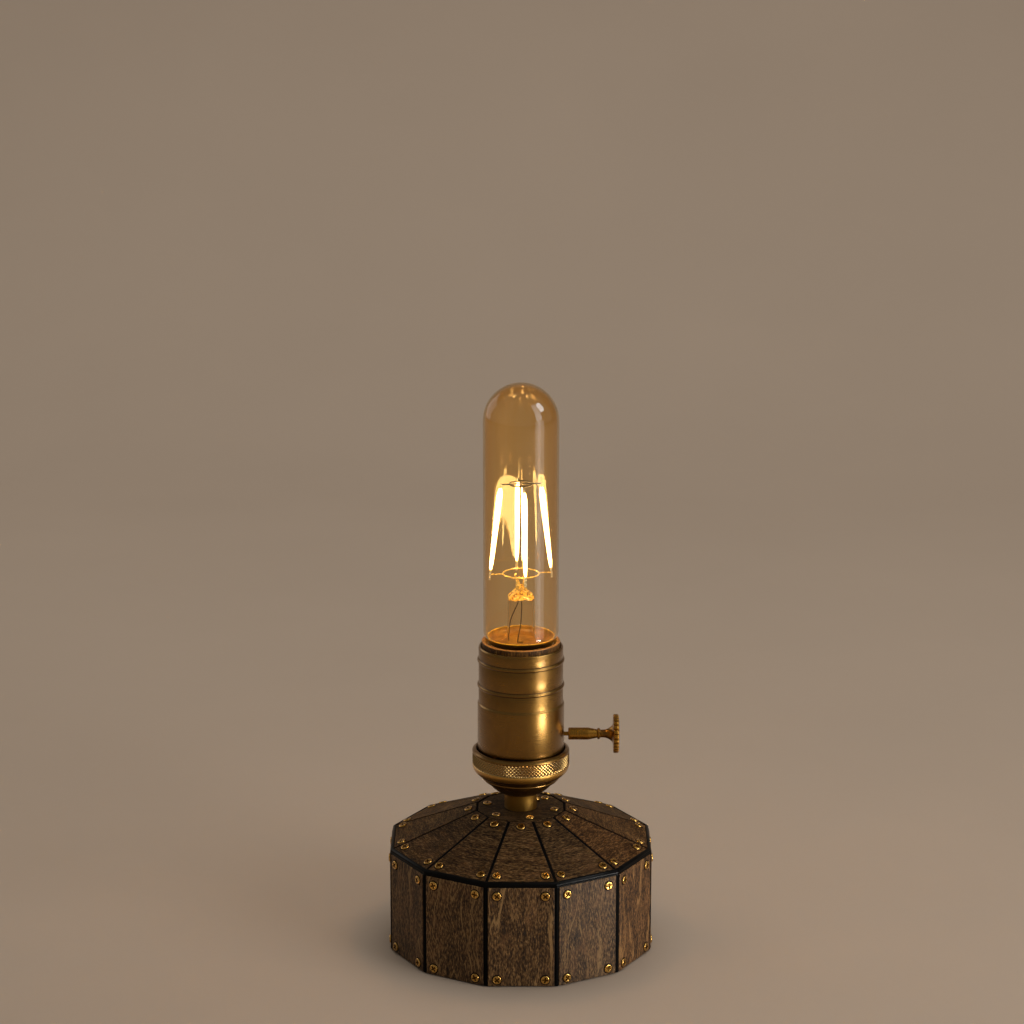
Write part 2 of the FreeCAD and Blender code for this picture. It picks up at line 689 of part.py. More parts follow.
def flat_sided(lower, upper):
    """A solid between two rings of points, with flat sides."""
    rings = [list(reversed(lower)), upper]
    for number, start in enumerate(lower):
        after = (number + 1) % len(lower)
        rings.append([start, lower[after], upper[after], upper[number]])
    faces = [Part.Face(Part.makePolygon(ring + ring[:1])) for ring in rings]
    return Part.Solid(Part.Shell(faces))


def screw_head():
    """Low crowned head with its underside at z = 0."""
    lower = ring_of_points(value("head_diameter"), 0, HEAD_SIDES)
    return flat_sided(lower, ring_of_points(value("head_crown"), value("head_rise"), HEAD_SIDES))


def turned_to(shape, seat, outward, spin):
    """A copy of the shape with its underside on the seat and its top facing outward, then spun about Z."""
    placed = shape.copy()
    placed.Placement = Placement(seat, Rotation(Vector(0, 0, 1), outward))
    placed.rotate(Vector(), Vector(0, 0, 1), spin)
    return placed


def make_group(node, solids):
    """One node that holds separate solids."""
    group = doc.addObject("Part::Feature", node)
    group.Label = node
    group.Shape = Part.makeCompound(solids)
    group.Placement = Placement()
    PARTS.append(group)


def side_screw_seats():
    reach = value("side_plate_half - side_screw_inset")
    heights = [value("foot_gap + foot_screw_inset"), value("side_top - top_screw_inset")]
    return [Vector(value("face"), y, z) for y in (-reach, reach) for z in heights]


def roof_screw_seats():
    """Two screws at a roof plate's outer corners and one at its inner end, on its sloping face."""
    half_slope = value("tan(180 / sides)")
    outer = value("roof_outer - rim_screw_inset")
    inner = value("roof_inner + inner_screw_inset")
    side = outer * half_slope - value("roof_screw_inset")
    places = [(outer, -side), (outer, side), (inner, 0)]
    fall = value("roof_slope")
    edge = value("rim_top")
    reach = value("roof_outer")
    return [Vector(x, y, edge + (reach - x) * fall) for x, y in places]


def make_plate_screws():
    head = screw_head()
    out, up = Vector(1, 0, 0), Vector(0, 0, 1)
    tilted = Vector(value("roof_slope"), 0, 1).normalize()
    heads = []
    for number in range(1, count("sides") + 1):
        spin = value(bearing(number))
        heads += [turned_to(head, seat, out, spin) for seat in side_screw_seats()]
        heads += [turned_to(head, seat, tilted, spin) for seat in roof_screw_seats()]
    seat = Vector(value("centre_screw_circle / 2"), 0, value("holder_foot"))
    pitch = 360 / count("centre_screws")
    first = value("180 / sides - 90")
    for number in range(count("centre_screws")):
        heads.append(turned_to(head, seat, up, first + number * pitch))
    make_group("plate_screws", heads)


def make_board_screws():
    """Screws driven up through the bottom board into the drum wall."""
    head = screw_head()
    half = value("board_shank_width") / 2
    length = value("board_shank_length")
    top = value("felt_thickness")
    screws = []
    for x, y in board_screw_places():
        shank = Part.makeBox(2 * half, 2 * half, length, Vector(value(x) - half, value(y) - half, top))
        placed = turned_to(head, Vector(value(x), value(y), top), Vector(0, 0, -1), 0)
        screws.append(shank.fuse(placed))
    make_group("board_screws", screws)


# ---- cord entry, tube and mains connection ----


def make_cable_gland():
    """Bushing in the rear side, turned about its own axis and stood along +Y."""
    length = "side_plate_thickness + carcass_wall + gland_tail"
    section = [
        (f"-({length})", "gland_bore / 2"),
        ("gland_flange_thickness", "gland_bore / 2"),
        ("gland_flange_thickness", "gland_flange / 2"),
        ("0", "gland_flange / 2"),
        ("0", "gland_diameter / 2"),
        (f"-({length})", "gland_diameter / 2"),
    ]
    body = turned_body("cable_gland", section, axis="H_Axis")
    place(body, lift="gland_height", turn="90")
    body.setExpression("Placement.Base.y", formula("face"))


def make_nipple():
    section = rectangle(
        "nipple_bore / 2", "nipple_diameter / 2", "nipple_foot", "holder_foot + nipple_top"
    )
    turned_body("threaded_nipple", section)
    bore = ("nipple_diameter + 2 * thread_play", "0", "0")
    prism_body("nipple_nut", polygon("nut_flats / 2", "6"), "nut_foot", "nut_thickness", [bore])


def make_mains_connection():
    """Terminal block on the bottom board and two wires that rise through the tube to the switch."""
    half_length, half_width = "block_length / 2", "block_width / 2"
    block = rectangle(f"-({half_length})", half_length, f"-({half_width})", half_width)
    prism_body("terminal_block", block, "board_top", "block_height")
    foot = value("board_top + block_height")
    top = value("holder_foot + collar_top")
    wires = []
    for side in (-1, 1):
        rise = Vector(side * value("wire_spacing") / 2, 0, 0)
        rings = [[p + rise for p in ring_of_points(value("wire_width"), z, WIRE_SIDES)] for z in (foot, top)]
        wires.append(flat_sided(*rings))
    make_group("inner_wires", wires)


# ---- lamp holder, in its own frame with the neck's foot at z = 0 ----


def make_holder_cap():
    """Neck, bowl and threaded collar in one piece."""
    thread = "shell_bore / 2 - thread_play"
    section = [
        ("nipple_diameter / 2 + thread_play", "0"),
        ("neck_diameter / 2", "0"),
        ("neck_diameter / 2", "neck_height"),
        ("bowl_foot / 2", "neck_height"),
        ("bowl_bend / 2", "neck_height + bowl_bend_height"),
        ("bowl_diameter / 2", "neck_height + bowl_height"),
        ("bowl_diameter / 2", "collar_foot"),
        (thread, "collar_foot"),
        (thread, "collar_top"),
        ("cap_bore / 2", "collar_top"),
        ("cap_bore / 2", "cap_floor"),
        ("nipple_diameter / 2 + thread_play", "cap_floor"),
    ]
    body = turned_body("holder_cap", section)
    hole = new_sketch(body, "GrubHole", "YZ_Plane")
    draw_circle(hole, "grub_diameter + 2 * grub_play", "0", "grub_height")
    bore = body.newObject("PartDesign::Pocket", "GrubBore")
    bore.Profile = (hole, [""])
    bore.Reversed = True
    bore.setExpression("Length", formula("neck_diameter"))
    place(body, lift="holder_foot", turn="grub_bearing")


def make_grub_screw():
    """Slotted set screw that locks the neck on the tube."""
    section = rectangle("nipple_diameter / 2", "grub_reach", "0", "grub_diameter / 2")
    body = turned_body("grub_screw", section, axis="H_Axis")
    slot = new_sketch(body, "Slot", "XZ_Plane")
    half_width = "slot_width / 2"
    slot_end = rectangle("grub_reach - slot_depth", "grub_reach + grub_play", f"-{half_width}", half_width)
    draw_loop(slot, slot_end)
    cut_through(body, slot, "DriverSlot")
    place(body, lift="holder_foot + grub_height", turn="grub_bearing")


def make_knurled_ring():
    """Ring that screws on the cap's collar and carries the shell on its inner step."""
    neck_gap = "bowl_diameter / 2 + thread_play"
    thread = "shell_bore / 2"
    section = [
        (neck_gap, "ring_foot"),
        ("ring_foot_diameter / 2", "ring_foot"),
        ("ring_shoulder_diameter / 2", "ring_shoulder"),
        ("ring_diameter / 2", "ring_band"),
        ("ring_diameter / 2", "ring_top - ring_lip_drop"),
        ("ring_lip_diameter / 2", "ring_top"),
        ("shell_diameter / 2 + ring_gap", "ring_top"),
        ("shell_diameter / 2 + ring_gap", "shell_seat"),
        (thread, "shell_seat"),
        (thread, "collar_foot - thread_play"),
        (neck_gap, "collar_foot - thread_play"),
    ]
    place(turned_body("knurled_ring", section), lift="holder_foot")


def bead(height):
    """Three corners of a bead round the shell, from its lower edge up."""
    wall = "shell_upper_diameter / 2"
    return [
        (wall, f"{height} - bead_width / 2"),
        (f"{wall} + bead_rise", height),
        (wall, f"{height} + bead_width / 2"),
    ]


def make_holder_shell():
    """Brass shell with a step and two beads; the key's spindle passes through its hole."""
    section = [
        ("shell_bore / 2", "shell_seat"),
        ("shell_diameter / 2", "shell_seat"),
        ("shell_diameter / 2", "step_height"),
        ("shell_upper_diameter / 2", "step_height + step_rise"),
        *bead("lower_bead_height"),
        *bead("upper_bead_height"),
        ("shell_upper_diameter / 2", "shell_top - edge_roll"),
        ("shell_upper_diameter / 2 - edge_roll", "shell_top"),
        ("shell_bore / 2", "shell_top"),
    ]
    body = turned_body("holder_shell", section)
    hole = new_sketch(body, "KeyHole", "YZ_Plane")
    draw_circle(hole, "spindle_hole", "0", "key_height")
    cut = body.newObject("PartDesign::Pocket", "KeyHole")
    cut.Profile = (hole, [""])
    cut.Reversed = True
    cut.setExpression("Length", formula("shell_diameter"))
    place(body, lift="holder_foot")


def make_holder_inside():
    """Fibre liner, porcelain body, contact shell and centre contact."""
    liner = rectangle("liner_bore / 2", "liner_diameter / 2", "body_top", "liner_top")
    place(turned_body("insulating_liner", liner), lift="holder_foot")

    body = new_body("switch_body")
    section = new_sketch(body, "Section", "XZ_Plane")
    draw_loop(section, rectangle("0", "body_diameter / 2", "collar_top", "body_top"))
    revolve(body, section, "Block")
    hollow = new_sketch(body, "RotorSpace", "XZ_Plane")
    rotor_end = "rotor_start + rotor_length + spindle_play"
    above_rotor = "key_height + rotor_diameter / 2 + spindle_play"
    above_spindle = "key_height + spindle_diameter / 2 + spindle_play"
    space = [
        ("rotor_start - spindle_play", "key_height"),
        ("body_diameter / 2 + spindle_play", "key_height"),
        ("body_diameter / 2 + spindle_play", above_spindle),
        (rotor_end, above_spindle),
        (rotor_end, above_rotor),
        ("rotor_start - spindle_play", above_rotor),
    ]
    draw_loop(hollow, space)
    groove = body.newObject("PartDesign::Groove", "RotorBore")
    groove.Profile = (hollow, [""])
    groove.ReferenceAxis = (hollow, ["Edge1"])
    groove.Angle = 360
    place(body, lift="holder_foot")

    inside = "screw_shell_bore / 2"
    tube = rectangle(inside, f"{inside} + screw_shell_wall", "body_top", "screw_shell_top")
    place(turned_body("screw_shell", tube), lift="holder_foot")
    make_centre_contact()


def make_centre_contact():
    """Bent brass strip: a foot on the porcelain, a rising leg and a tongue under the bulb's tip."""
    top = "bulb_seat - contact_play"
    leg_foot, leg_head = "-contact_rise / 2", "contact_rise / 2"
    strip = [
        (f"{leg_foot} - contact_foot", "body_top"),
        (leg_foot, "body_top"),
        (leg_head, f"{top} - contact_thickness"),
        (f"{leg_head} + contact_tongue", f"{top} - contact_thickness"),
        (f"{leg_head} + contact_tongue", top),
        (f"{leg_head} - 2 * contact_thickness", top),
        (leg_foot, "body_top + 2 * contact_thickness"),
        (f"{leg_foot} - contact_foot", "body_top + contact_thickness"),
    ]
    body = new_body("centre_contact")
    sketch = new_sketch(body, "Strip", "XZ_Plane")
    draw_loop(sketch, strip)
    pad(body, sketch, "Strip", "contact_width", symmetric=True)
    place(body, lift="holder_foot")


# ---- key switch, turned about X in its own frame ----


def make_switch_spindle():
    pin = "spindle_diameter / 2"
    rotor_end = "rotor_start + rotor_length"
    section = [
        ("rotor_start", "0"),
        ("stem_start + socket_depth", "0"),
        ("stem_start + socket_depth", pin),
        (rotor_end, pin),
        (rotor_end, "rotor_diameter / 2"),
        ("rotor_start", "rotor_diameter / 2"),
    ]
    place(turned_body("switch_spindle", section, axis="H_Axis"), lift="key_axis")


def make_key_knob():
    """Key: a stem with a small collar, a flared waist and a dished disc with a fluted edge."""
    bore = "spindle_diameter / 2 + spindle_play / 2"
    socket_end = "stem_start + socket_depth + spindle_play"
    dish = "disc_diameter / 2 - disc_rim"
    section = [
        ("stem_start", bore),
        (socket_end, bore),
        (socket_end, "0"),
        ("disc_end - disc_dish", "0"),
        ("disc_end - disc_dish", dish),
        ("disc_end", dish),
        ("disc_end", "disc_diameter / 2"),
        ("disc_start", "disc_diameter / 2"),
        ("disc_start", "flare_diameter / 2"),
        ("flare_start", "waist_diameter / 2"),
        ("waist_start", "waist_diameter / 2"),
        ("waist_start", "collar_diameter / 2"),
        ("key_end", "collar_diameter / 2"),
        ("key_end", "taper_diameter / 2"),
        ("stem_start + stem_length", "stem_diameter / 2"),
        ("stem_start", "stem_diameter / 2"),
    ]
    body = turned_body("key_knob", section, axis="H_Axis")
    notch = new_sketch(body, "Flute", "YZ_Plane")
    edge = "disc_diameter / 2"
    corners = [
        ("0", f"{edge} - flute_depth"),
        ("flute_width / 2", f"{edge} + spindle_play"),
        ("-flute_width / 2", f"{edge} + spindle_play"),
    ]
    draw_loop(notch, corners)
    cut = cut_through(body, notch, "Flute")
    repeat_round(body, cut, "Flutes", "flutes", "X_Axis")
    place(body, lift="key_axis")


# ---- bulb, in its own frame with the contact tip at z = 0 ----


def make_bulb_glass():
    """Tube with a round end and a drawn-in shoulder."""
    section = [
        ("glass_foot_diameter / 2 - glass_wall", "bulb_cap_top"),
        ("glass_foot_diameter / 2", "bulb_cap_top"),
        ("bulb_radius", "shoulder_top"),
        ("bulb_radius", "dome_foot"),
        ("0", "bulb_length"),
        ("0", "bulb_length - glass_wall"),
        ("inner_radius * sin(30)", "dome_foot + inner_radius * cos(30)"),
        ("inner_radius * sin(60)", "dome_foot + inner_radius * cos(60)"),
        ("inner_radius", "dome_foot"),
        ("inner_radius", "shoulder_top"),
    ]
    place(turned_body("bulb_glass", section, arcs={3: "bulb_radius"}), lift="bulb_foot")


def make_bulb_cap():
    """Metal cap, its insulator, the contact tip and the driver board inside."""
    outside = "bulb_cap_diameter / 2"
    wall = rectangle(f"{outside} - bulb_cap_wall", outside, "cap_foot", "bulb_cap_top")
    place(turned_body("bulb_cap", wall), lift="bulb_foot")
    insulator = [
        ("0", "tip_thickness"),
        ("insulator_foot / 2", "tip_thickness"),
        ("insulator_foot / 2", "cap_foot"),
        (f"{outside} - bulb_cap_wall - fit_play", "cap_foot"),
        (f"{outside} - bulb_cap_wall - fit_play", "insulator_top"),
        ("0", "insulator_top"),
    ]
    place(turned_body("cap_insulator", insulator), lift="bulb_foot")
    tip = rectangle("0", "tip_diameter / 2", "0", "tip_thickness")
    place(turned_body("contact_tip", tip), lift="bulb_foot")
    half_width, half_thick = "driver_width / 2", "driver_thickness / 2"
    board = rectangle(f"-({half_width})", half_width, f"-({half_thick})", half_thick)
    place(prism_body("led_driver", board, "insulator_top", "driver_height"), lift="bulb_foot")


def make_bulb_stem():
    """Glass flare, stem tube and press, and the post that carries the upper ring."""
    section = [
        ("stem_tube / 2 - stem_wall", "bulb_cap_top"),
        ("flare_foot / 2", "bulb_cap_top"),
        ("flare_foot / 2", "bulb_cap_top + flare_lip"),
        ("stem_tube / 2", "flare_top"),
        ("stem_tube / 2", "press_foot + stem_wall"),
        ("0", "press_foot + stem_wall"),
        ("0", "press_foot"),
        ("stem_tube / 2 - stem_wall", "press_foot"),
    ]
    body = turned_body("bulb_stem", section)
    flat = new_sketch(body, "Press", lift="press_foot + stem_wall")
    half_width, half_thick = "press_width / 2", "press_thickness / 2"
    draw_loop(flat, rectangle(f"-({half_width})", half_width, f"-({half_thick})", half_thick))
    pad(body, flat, "Press", "press_top - press_foot - stem_wall")
    post = new_sketch(body, "Post", lift="press_top")
    draw_loop(post, polygon("post_width / 2", "filaments"))
    pad(body, post, "Post", "upper_ring_height - press_top")
    place(body, lift="bulb_foot")


def make_support_ring(node, diameter, height, reach):
    """Wire ring with an arm out to each filament; the upper one has spokes in to the post."""
    body = new_body(node)
    outline = new_sketch(body, "Ring", lift=f"{height} - support_wire / 2")
    draw_loop(outline, polygon(f"{diameter} / 2 + support_wire / 2", "(4 * filaments)"))
    draw_loop(outline, polygon(f"{diameter} / 2 - support_wire / 2", "(4 * filaments)"))
    pad(body, outline, "Ring", "support_wire")
    arm = new_sketch(body, "Arm", lift=f"{height} - support_wire / 2")
    inner = f"{diameter} / 2" if node == "lower_ring" else "post_width / 2"
    draw_loop(arm, rectangle(inner, reach, "-support_wire / 2", "support_wire / 2"))
    first = pad(body, arm, "Arm", "support_wire")
    repeat_round(body, first, "Arms", "filaments")
    place(body, lift="bulb_foot", turn="filament_turn")


def make_filaments():
    """Leaning filaments with a metal tab at each end, which stand on the rings' arms."""
    foot = Vector(value("filament_foot"), 0, value("lower_ring_height + support_wire / 2"))
    head = Vector(value("filament_head"), 0, value("upper_ring_height - support_wire / 2"))
    along = (head - foot).normalize()
    tab = value("tab_length")
    stretches = [
        ("filament_tabs", foot, foot + along * tab, "tab_width"),
        ("led_filaments", foot + along * tab, head - along * tab, "filament_width"),
        ("filament_tabs", head - along * tab, head, "tab_width"),
    ]
    solids = {"filament_tabs": [], "led_filaments": []}
    lift = Vector(0, 0, value("bulb_foot"))
    for node, start, end, width in stretches:
        straight = (end - start).Length
        rings = [ring_of_points(value(width), z, WIRE_SIDES) for z in (0, straight)]
        rod = flat_sided(*rings)
        for number in range(count("filaments")):
            spin = 360 / count("filaments") * number + value("filament_turn")
            solids[node].append(turned_to(rod, start + lift, along, spin))
    for node, rods in solids.items():
        make_group(node, rods)


def make_lead_wires():
    """Two wires from the driver up the stem to its press."""
    foot = value("bulb_foot + insulator_top + driver_height")
    top = value("bulb_foot + press_foot")
    leads = []
    for side in (-1, 1):
        step = Vector(side * value("lead_spacing") / 2, 0, 0)
        rings = [[p + step for p in ring_of_points(value("lead_width"), z, WIRE_SIDES)] for z in (foot, top)]
        leads.append(flat_sided(*rings))
    make_group("lead_wires", leads)


# ---- everything ----

make_drum_wall()
for plate in range(1, count("sides") + 1):
    make_side_plate(plate)
    make_roof_plate(plate)
make_roof_deck()
make_rim_band()
make_centre_plate()
make_bottom_board()
make_felt_pad()
make_plate_screws()
make_board_screws()
make_cable_gland()
make_nipple()
make_mains_connection()
make_holder_cap()
make_grub_screw()
make_knurled_ring()
make_holder_shell()
make_holder_inside()
make_switch_spindle()
make_key_knob()
make_bulb_glass()
make_bulb_cap()
make_bulb_stem()
make_support_ring("lower_ring", "lower_ring_diameter", "lower_ring_height", "filament_foot + tab_width / 2")
make_support_ring("upper_ring", "upper_ring_diameter", "upper_ring_height", "filament_head + tab_width / 2")
make_filaments()
make_lead_wires()
doc.recompute()

for item in doc.Objects:
    faults = [state for state in item.State if state in ("Invalid", "Error")]
    if faults:
        raise RuntimeError(f"{item.Name} in {[p.Label for p in item.InList]} failed: {faults}")
for piece in PARTS:
    if piece.Shape.isNull() or not piece.Shape.isValid() or not piece.Shape.Solids:
        raise RuntimeError(f"{piece.Label} has no valid solid")
for piece in PARTS:
    piece.Shape.exportStep(f"parts/{piece.Label}.step")
print(f"{len(PARTS)} nodes, {sum(len(piece.Shape.Solids) for piece in PARTS)} solids")
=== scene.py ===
import random
from math import cos, degrees, exp, pi, radians, sin, tan

import bmesh
import bpy
from mathutils import Matrix, Vector
from mathutils.geometry import tessellate_polygon


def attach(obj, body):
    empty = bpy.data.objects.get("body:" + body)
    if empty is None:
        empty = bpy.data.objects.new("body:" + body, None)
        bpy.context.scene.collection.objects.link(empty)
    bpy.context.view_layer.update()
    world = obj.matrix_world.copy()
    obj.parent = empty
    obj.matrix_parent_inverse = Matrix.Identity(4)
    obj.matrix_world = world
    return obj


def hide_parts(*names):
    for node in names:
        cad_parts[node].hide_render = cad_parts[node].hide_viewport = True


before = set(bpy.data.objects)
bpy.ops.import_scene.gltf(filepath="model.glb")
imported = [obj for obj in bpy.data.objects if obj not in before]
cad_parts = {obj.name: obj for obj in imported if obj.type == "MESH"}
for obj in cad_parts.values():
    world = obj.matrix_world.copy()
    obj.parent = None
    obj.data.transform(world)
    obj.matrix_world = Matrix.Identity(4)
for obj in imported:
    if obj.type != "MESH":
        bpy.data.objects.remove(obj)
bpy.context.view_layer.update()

# Bare bulb table lamp. Forms are drawn in millimetres and made into meshes in metres. The camera and the
# studio's lamps are placed in metres.
MM = 0.001
SIDES = 12
HALF_SIDE = pi / SIDES
draw = random.Random(11)

# the drum: distances from the axis, heights and half widths of its plates
FACE, FACE_BACK, SIDE_HALF = 52.5, 49.5, 13.067
SIDE_LOW, SIDE_TOP = 0.4, 41.45
ROOF_IN, ROOF_OUT, RIM_TOP, ROOF_TOP = 18, 50.85, 43.6, 56.5
ROOF_DEPTH, ROOF_SEAM = 2.149, 1.1
SEAM_HALF = ROOF_SEAM / 2 / cos(HALF_SIDE)
CENTRE_FLATS, DECK_TOP, CENTRE_TOP = 17.1, 54.35, 56.35
GLAND_HEIGHT, GLAND_HOLE = 12, 5
EDGE = 0.32


def link(name, data):
    """A new object in the scene."""
    made = bpy.data.objects.new(name, data)
    bpy.context.scene.collection.objects.link(made)
    return made


# ---- camera, light and world ----

SENSOR, LENS = 36, 119.85
CAMERA_PLACE, CAMERA_DIP = (-0.00355, -1.2991, 0.5244), 14.8776
WORLD_COLOUR = (0.2, 0.188, 0.17)

camera = link("camera", bpy.data.cameras.new("camera"))
camera.data.sensor_width = SENSOR
camera.data.lens = LENS
camera.location = CAMERA_PLACE
camera.rotation_euler = (radians(90 - CAMERA_DIP), 0, 0)
bpy.context.scene.camera = camera
bpy.context.scene.view_settings.view_transform = "Standard"


def lamp(name, azimuth, reach, height, aim, size, radiance, colour, spread=180, diffuse=True, glossy=True):
    """An unseen soft panel that faces the axis at height aim. Azimuth 0 is in front, 90 at the right."""
    turn = radians(azimuth)
    place = Vector((reach * sin(turn), -reach * cos(turn), height))
    light = link(name, bpy.data.lights.new(name, "AREA"))
    light.data.shape = "RECTANGLE"
    light.data.size, light.data.size_y = size
    light.data.energy = pi * radiance * size[0] * size[1]
    light.data.color = colour
    light.data.spread = radians(spread)
    light.location = place
    light.rotation_mode = "QUATERNION"
    light.rotation_quaternion = (place - Vector((0, 0, aim))).to_track_quat("Z", "Y")
    light.visible_camera = False
    light.visible_transmission = False
    light.visible_diffuse = diffuse
    light.visible_glossy = glossy


# window panels near the lamp draw its highlights, and the far wash lights the rest as that window would
lamp("window_foot", 57, 0.28, 0.125, 0.125, (0.15, 0.24), 0.55, (1, 0.98, 0.95), spread=90, diffuse=False)
lamp("window_core", 55, 0.275, 0.125, 0.125, (0.05, 0.24), 0.4, (1, 0.98, 0.96), spread=90, diffuse=False)
lamp("window_top", 57, 0.33, 0.44, 0.4, (0.12, 0.36), 2.1, (0.98, 0.99, 1), spread=120, diffuse=False)
lamp("window_gleam", 57, 0.2, 0.017, 0.04, (0.06, 0.028), 30, (1, 0.98, 0.94), diffuse=False)
lamp("window_sky", 79, 0.4, 0.525, 0.225, (0.14, 0.2), 11, (0.93, 0.98, 1), diffuse=False)
lamp("window_wash", 57, 1, 0.34, 0.08, (0.7, 0.6), 4.7, (1, 0.98, 0.95), glossy=False)
lamp("ceiling", 150, 0.35, 1.5, 0, (1.5, 1.5), 2, (1, 0.98, 0.95), glossy=False)
lamp("rear_fill", -125, 1.4, 0.55, 0.1, (0.9, 0.9), 0.9, (1, 0.97, 0.92))

world = bpy.data.worlds.new("studio")
world.use_nodes = True
backdrop = world.node_tree.nodes["Background"]
backdrop.inputs["Color"].default_value = (*WORLD_COLOUR, 1)
backdrop.inputs["Strength"].default_value = 1
bpy.context.scene.world = world


# ---- materials ----


class Paint:
    """The node graph of one material."""

    def __init__(self, name):
        self.material = bpy.data.materials.new(name)
        self.material.use_nodes = True
        self.tree = self.material.node_tree
        self.tree.nodes.clear()
        self.end = self.tree.nodes.new("ShaderNodeOutputMaterial")

    def add(self, kind, settings=None, **inputs):
        """A node; inputs are values or sockets, with _ for a space in their names."""
        made = self.tree.nodes.new("ShaderNode" + kind)
        for key, setting in (settings or {}).items():
            setattr(made, key, setting)
        for key, given in inputs.items():
            self.feed(made.inputs[key.replace("_", " ")], given)
        return made

    def feed(self, socket, given):
        """Links a socket to a node or a socket, or gives it a value of its own."""
        if isinstance(given, bpy.types.Node):
            given = given.outputs[0]
        if isinstance(given, bpy.types.NodeSocket):
            self.tree.links.new(given, socket)
        elif socket.type == "RGBA":
            socket.default_value = (*given, 1)
        else:
            socket.default_value = given

    def fill(self, made, *given):
        """The output of a node whose inputs take what is given, in turn."""
        for socket, value in zip(made.inputs, given):
            self.feed(socket, value)
        return made.outputs[0]

    def math(self, operation, *given, clamp=False):
        return self.fill(self.add("Math", {"operation": operation, "use_clamp": clamp}), *given)

    def times(self, one, other):
        return self.math("MULTIPLY", one, other)

    def plus(self, one, other, clamp=False):
        return self.math("ADD", one, other, clamp=clamp)

    def minus(self, one, other):
        return self.math("SUBTRACT", one, other)

    def swing(self, noise, width):
        """A noise moved to both sides of nought, so many times as wide."""
        return self.times(self.minus(noise, 0.5), width)

    def blend(self, share, first, second, kind="MIX"):
        made = self.add("Mix", {"data_type": "RGBA", "blend_type": kind}, Factor=share)
        self.feed(made.inputs[6], first)
        self.feed(made.inputs[7], second)
        return made.outputs[2]

    def cover(self, colour, share, strength, other):
        """A colour with another over it, by share times strength."""
        return self.blend(self.times(share, strength), colour, other)

    def either(self, share, first, second):
        """Two shaders mixed; share is the second one's."""
        return self.fill(self.add("MixShader"), share, first, second)

    def steps(self, share, *stops):
        """A ramp through colours, each at its own place."""
        made = self.add("ValToRGB")
        marks = made.color_ramp.elements
        while len(marks) < len(stops):
            marks.new(0.5)
        for mark, (place, colour) in zip(marks, stops):
            mark.position = place
            mark.color = (*colour, 1)
        return self.fill(made, share)

    def smooth(self, value, low, high):
        """0 below low, 1 above high, smooth between."""
        return self.add("MapRange", {"interpolation_type": "SMOOTHSTEP"}, Value=value, From_Min=low,
                        From_Max=high).outputs[0]

    def place(self):
        """A point's three coordinates in millimetres, as sockets."""
        where = self.add("TexCoord").outputs["Object"]
        scaled = self.add("VectorMath", {"operation": "SCALE"}, Vector=where, Scale=1 / MM)
        return tuple(self.add("SeparateXYZ", Vector=scaled).outputs)

    def vector(self, x, y, z, scales=(1, 1, 1)):
        """One vector of three values or sockets, each times its scale."""
        given = [one if scale == 1 else self.times(one, scale) for one, scale in zip((x, y, z), scales)]
        return self.fill(self.add("CombineXYZ"), *given)

    def at(self):
        return self.vector(*self.place())

    def round_place(self):
        """A point's angle in radians, its distance from the axis and its height."""
        x, y, z = self.place()
        reach = self.math("SQRT", self.plus(self.times(x, x), self.times(y, y)))
        return self.math("ARCTAN2", y, x), reach, z

    def noise(self, vector, scale=1, detail=4, rough=0.55, warp=0):
        return self.add("TexNoise", Vector=vector, Scale=scale, Detail=detail, Roughness=rough,
                        Distortion=warp).outputs[0]

    def bump(self, height, depth, strength):
        """Relief of so many millimetres."""
        return self.add("Bump", Height=height, Strength=strength, Distance=depth * MM)

    def finish(self, shader):
        self.feed(self.end.inputs["Surface"], shader)
        return self.material

    def surface(self, **inputs):
        return self.finish(self.add("BsdfPrincipled", **inputs))


def dimmed(colour, factor):
    return tuple(factor * c for c in colour)


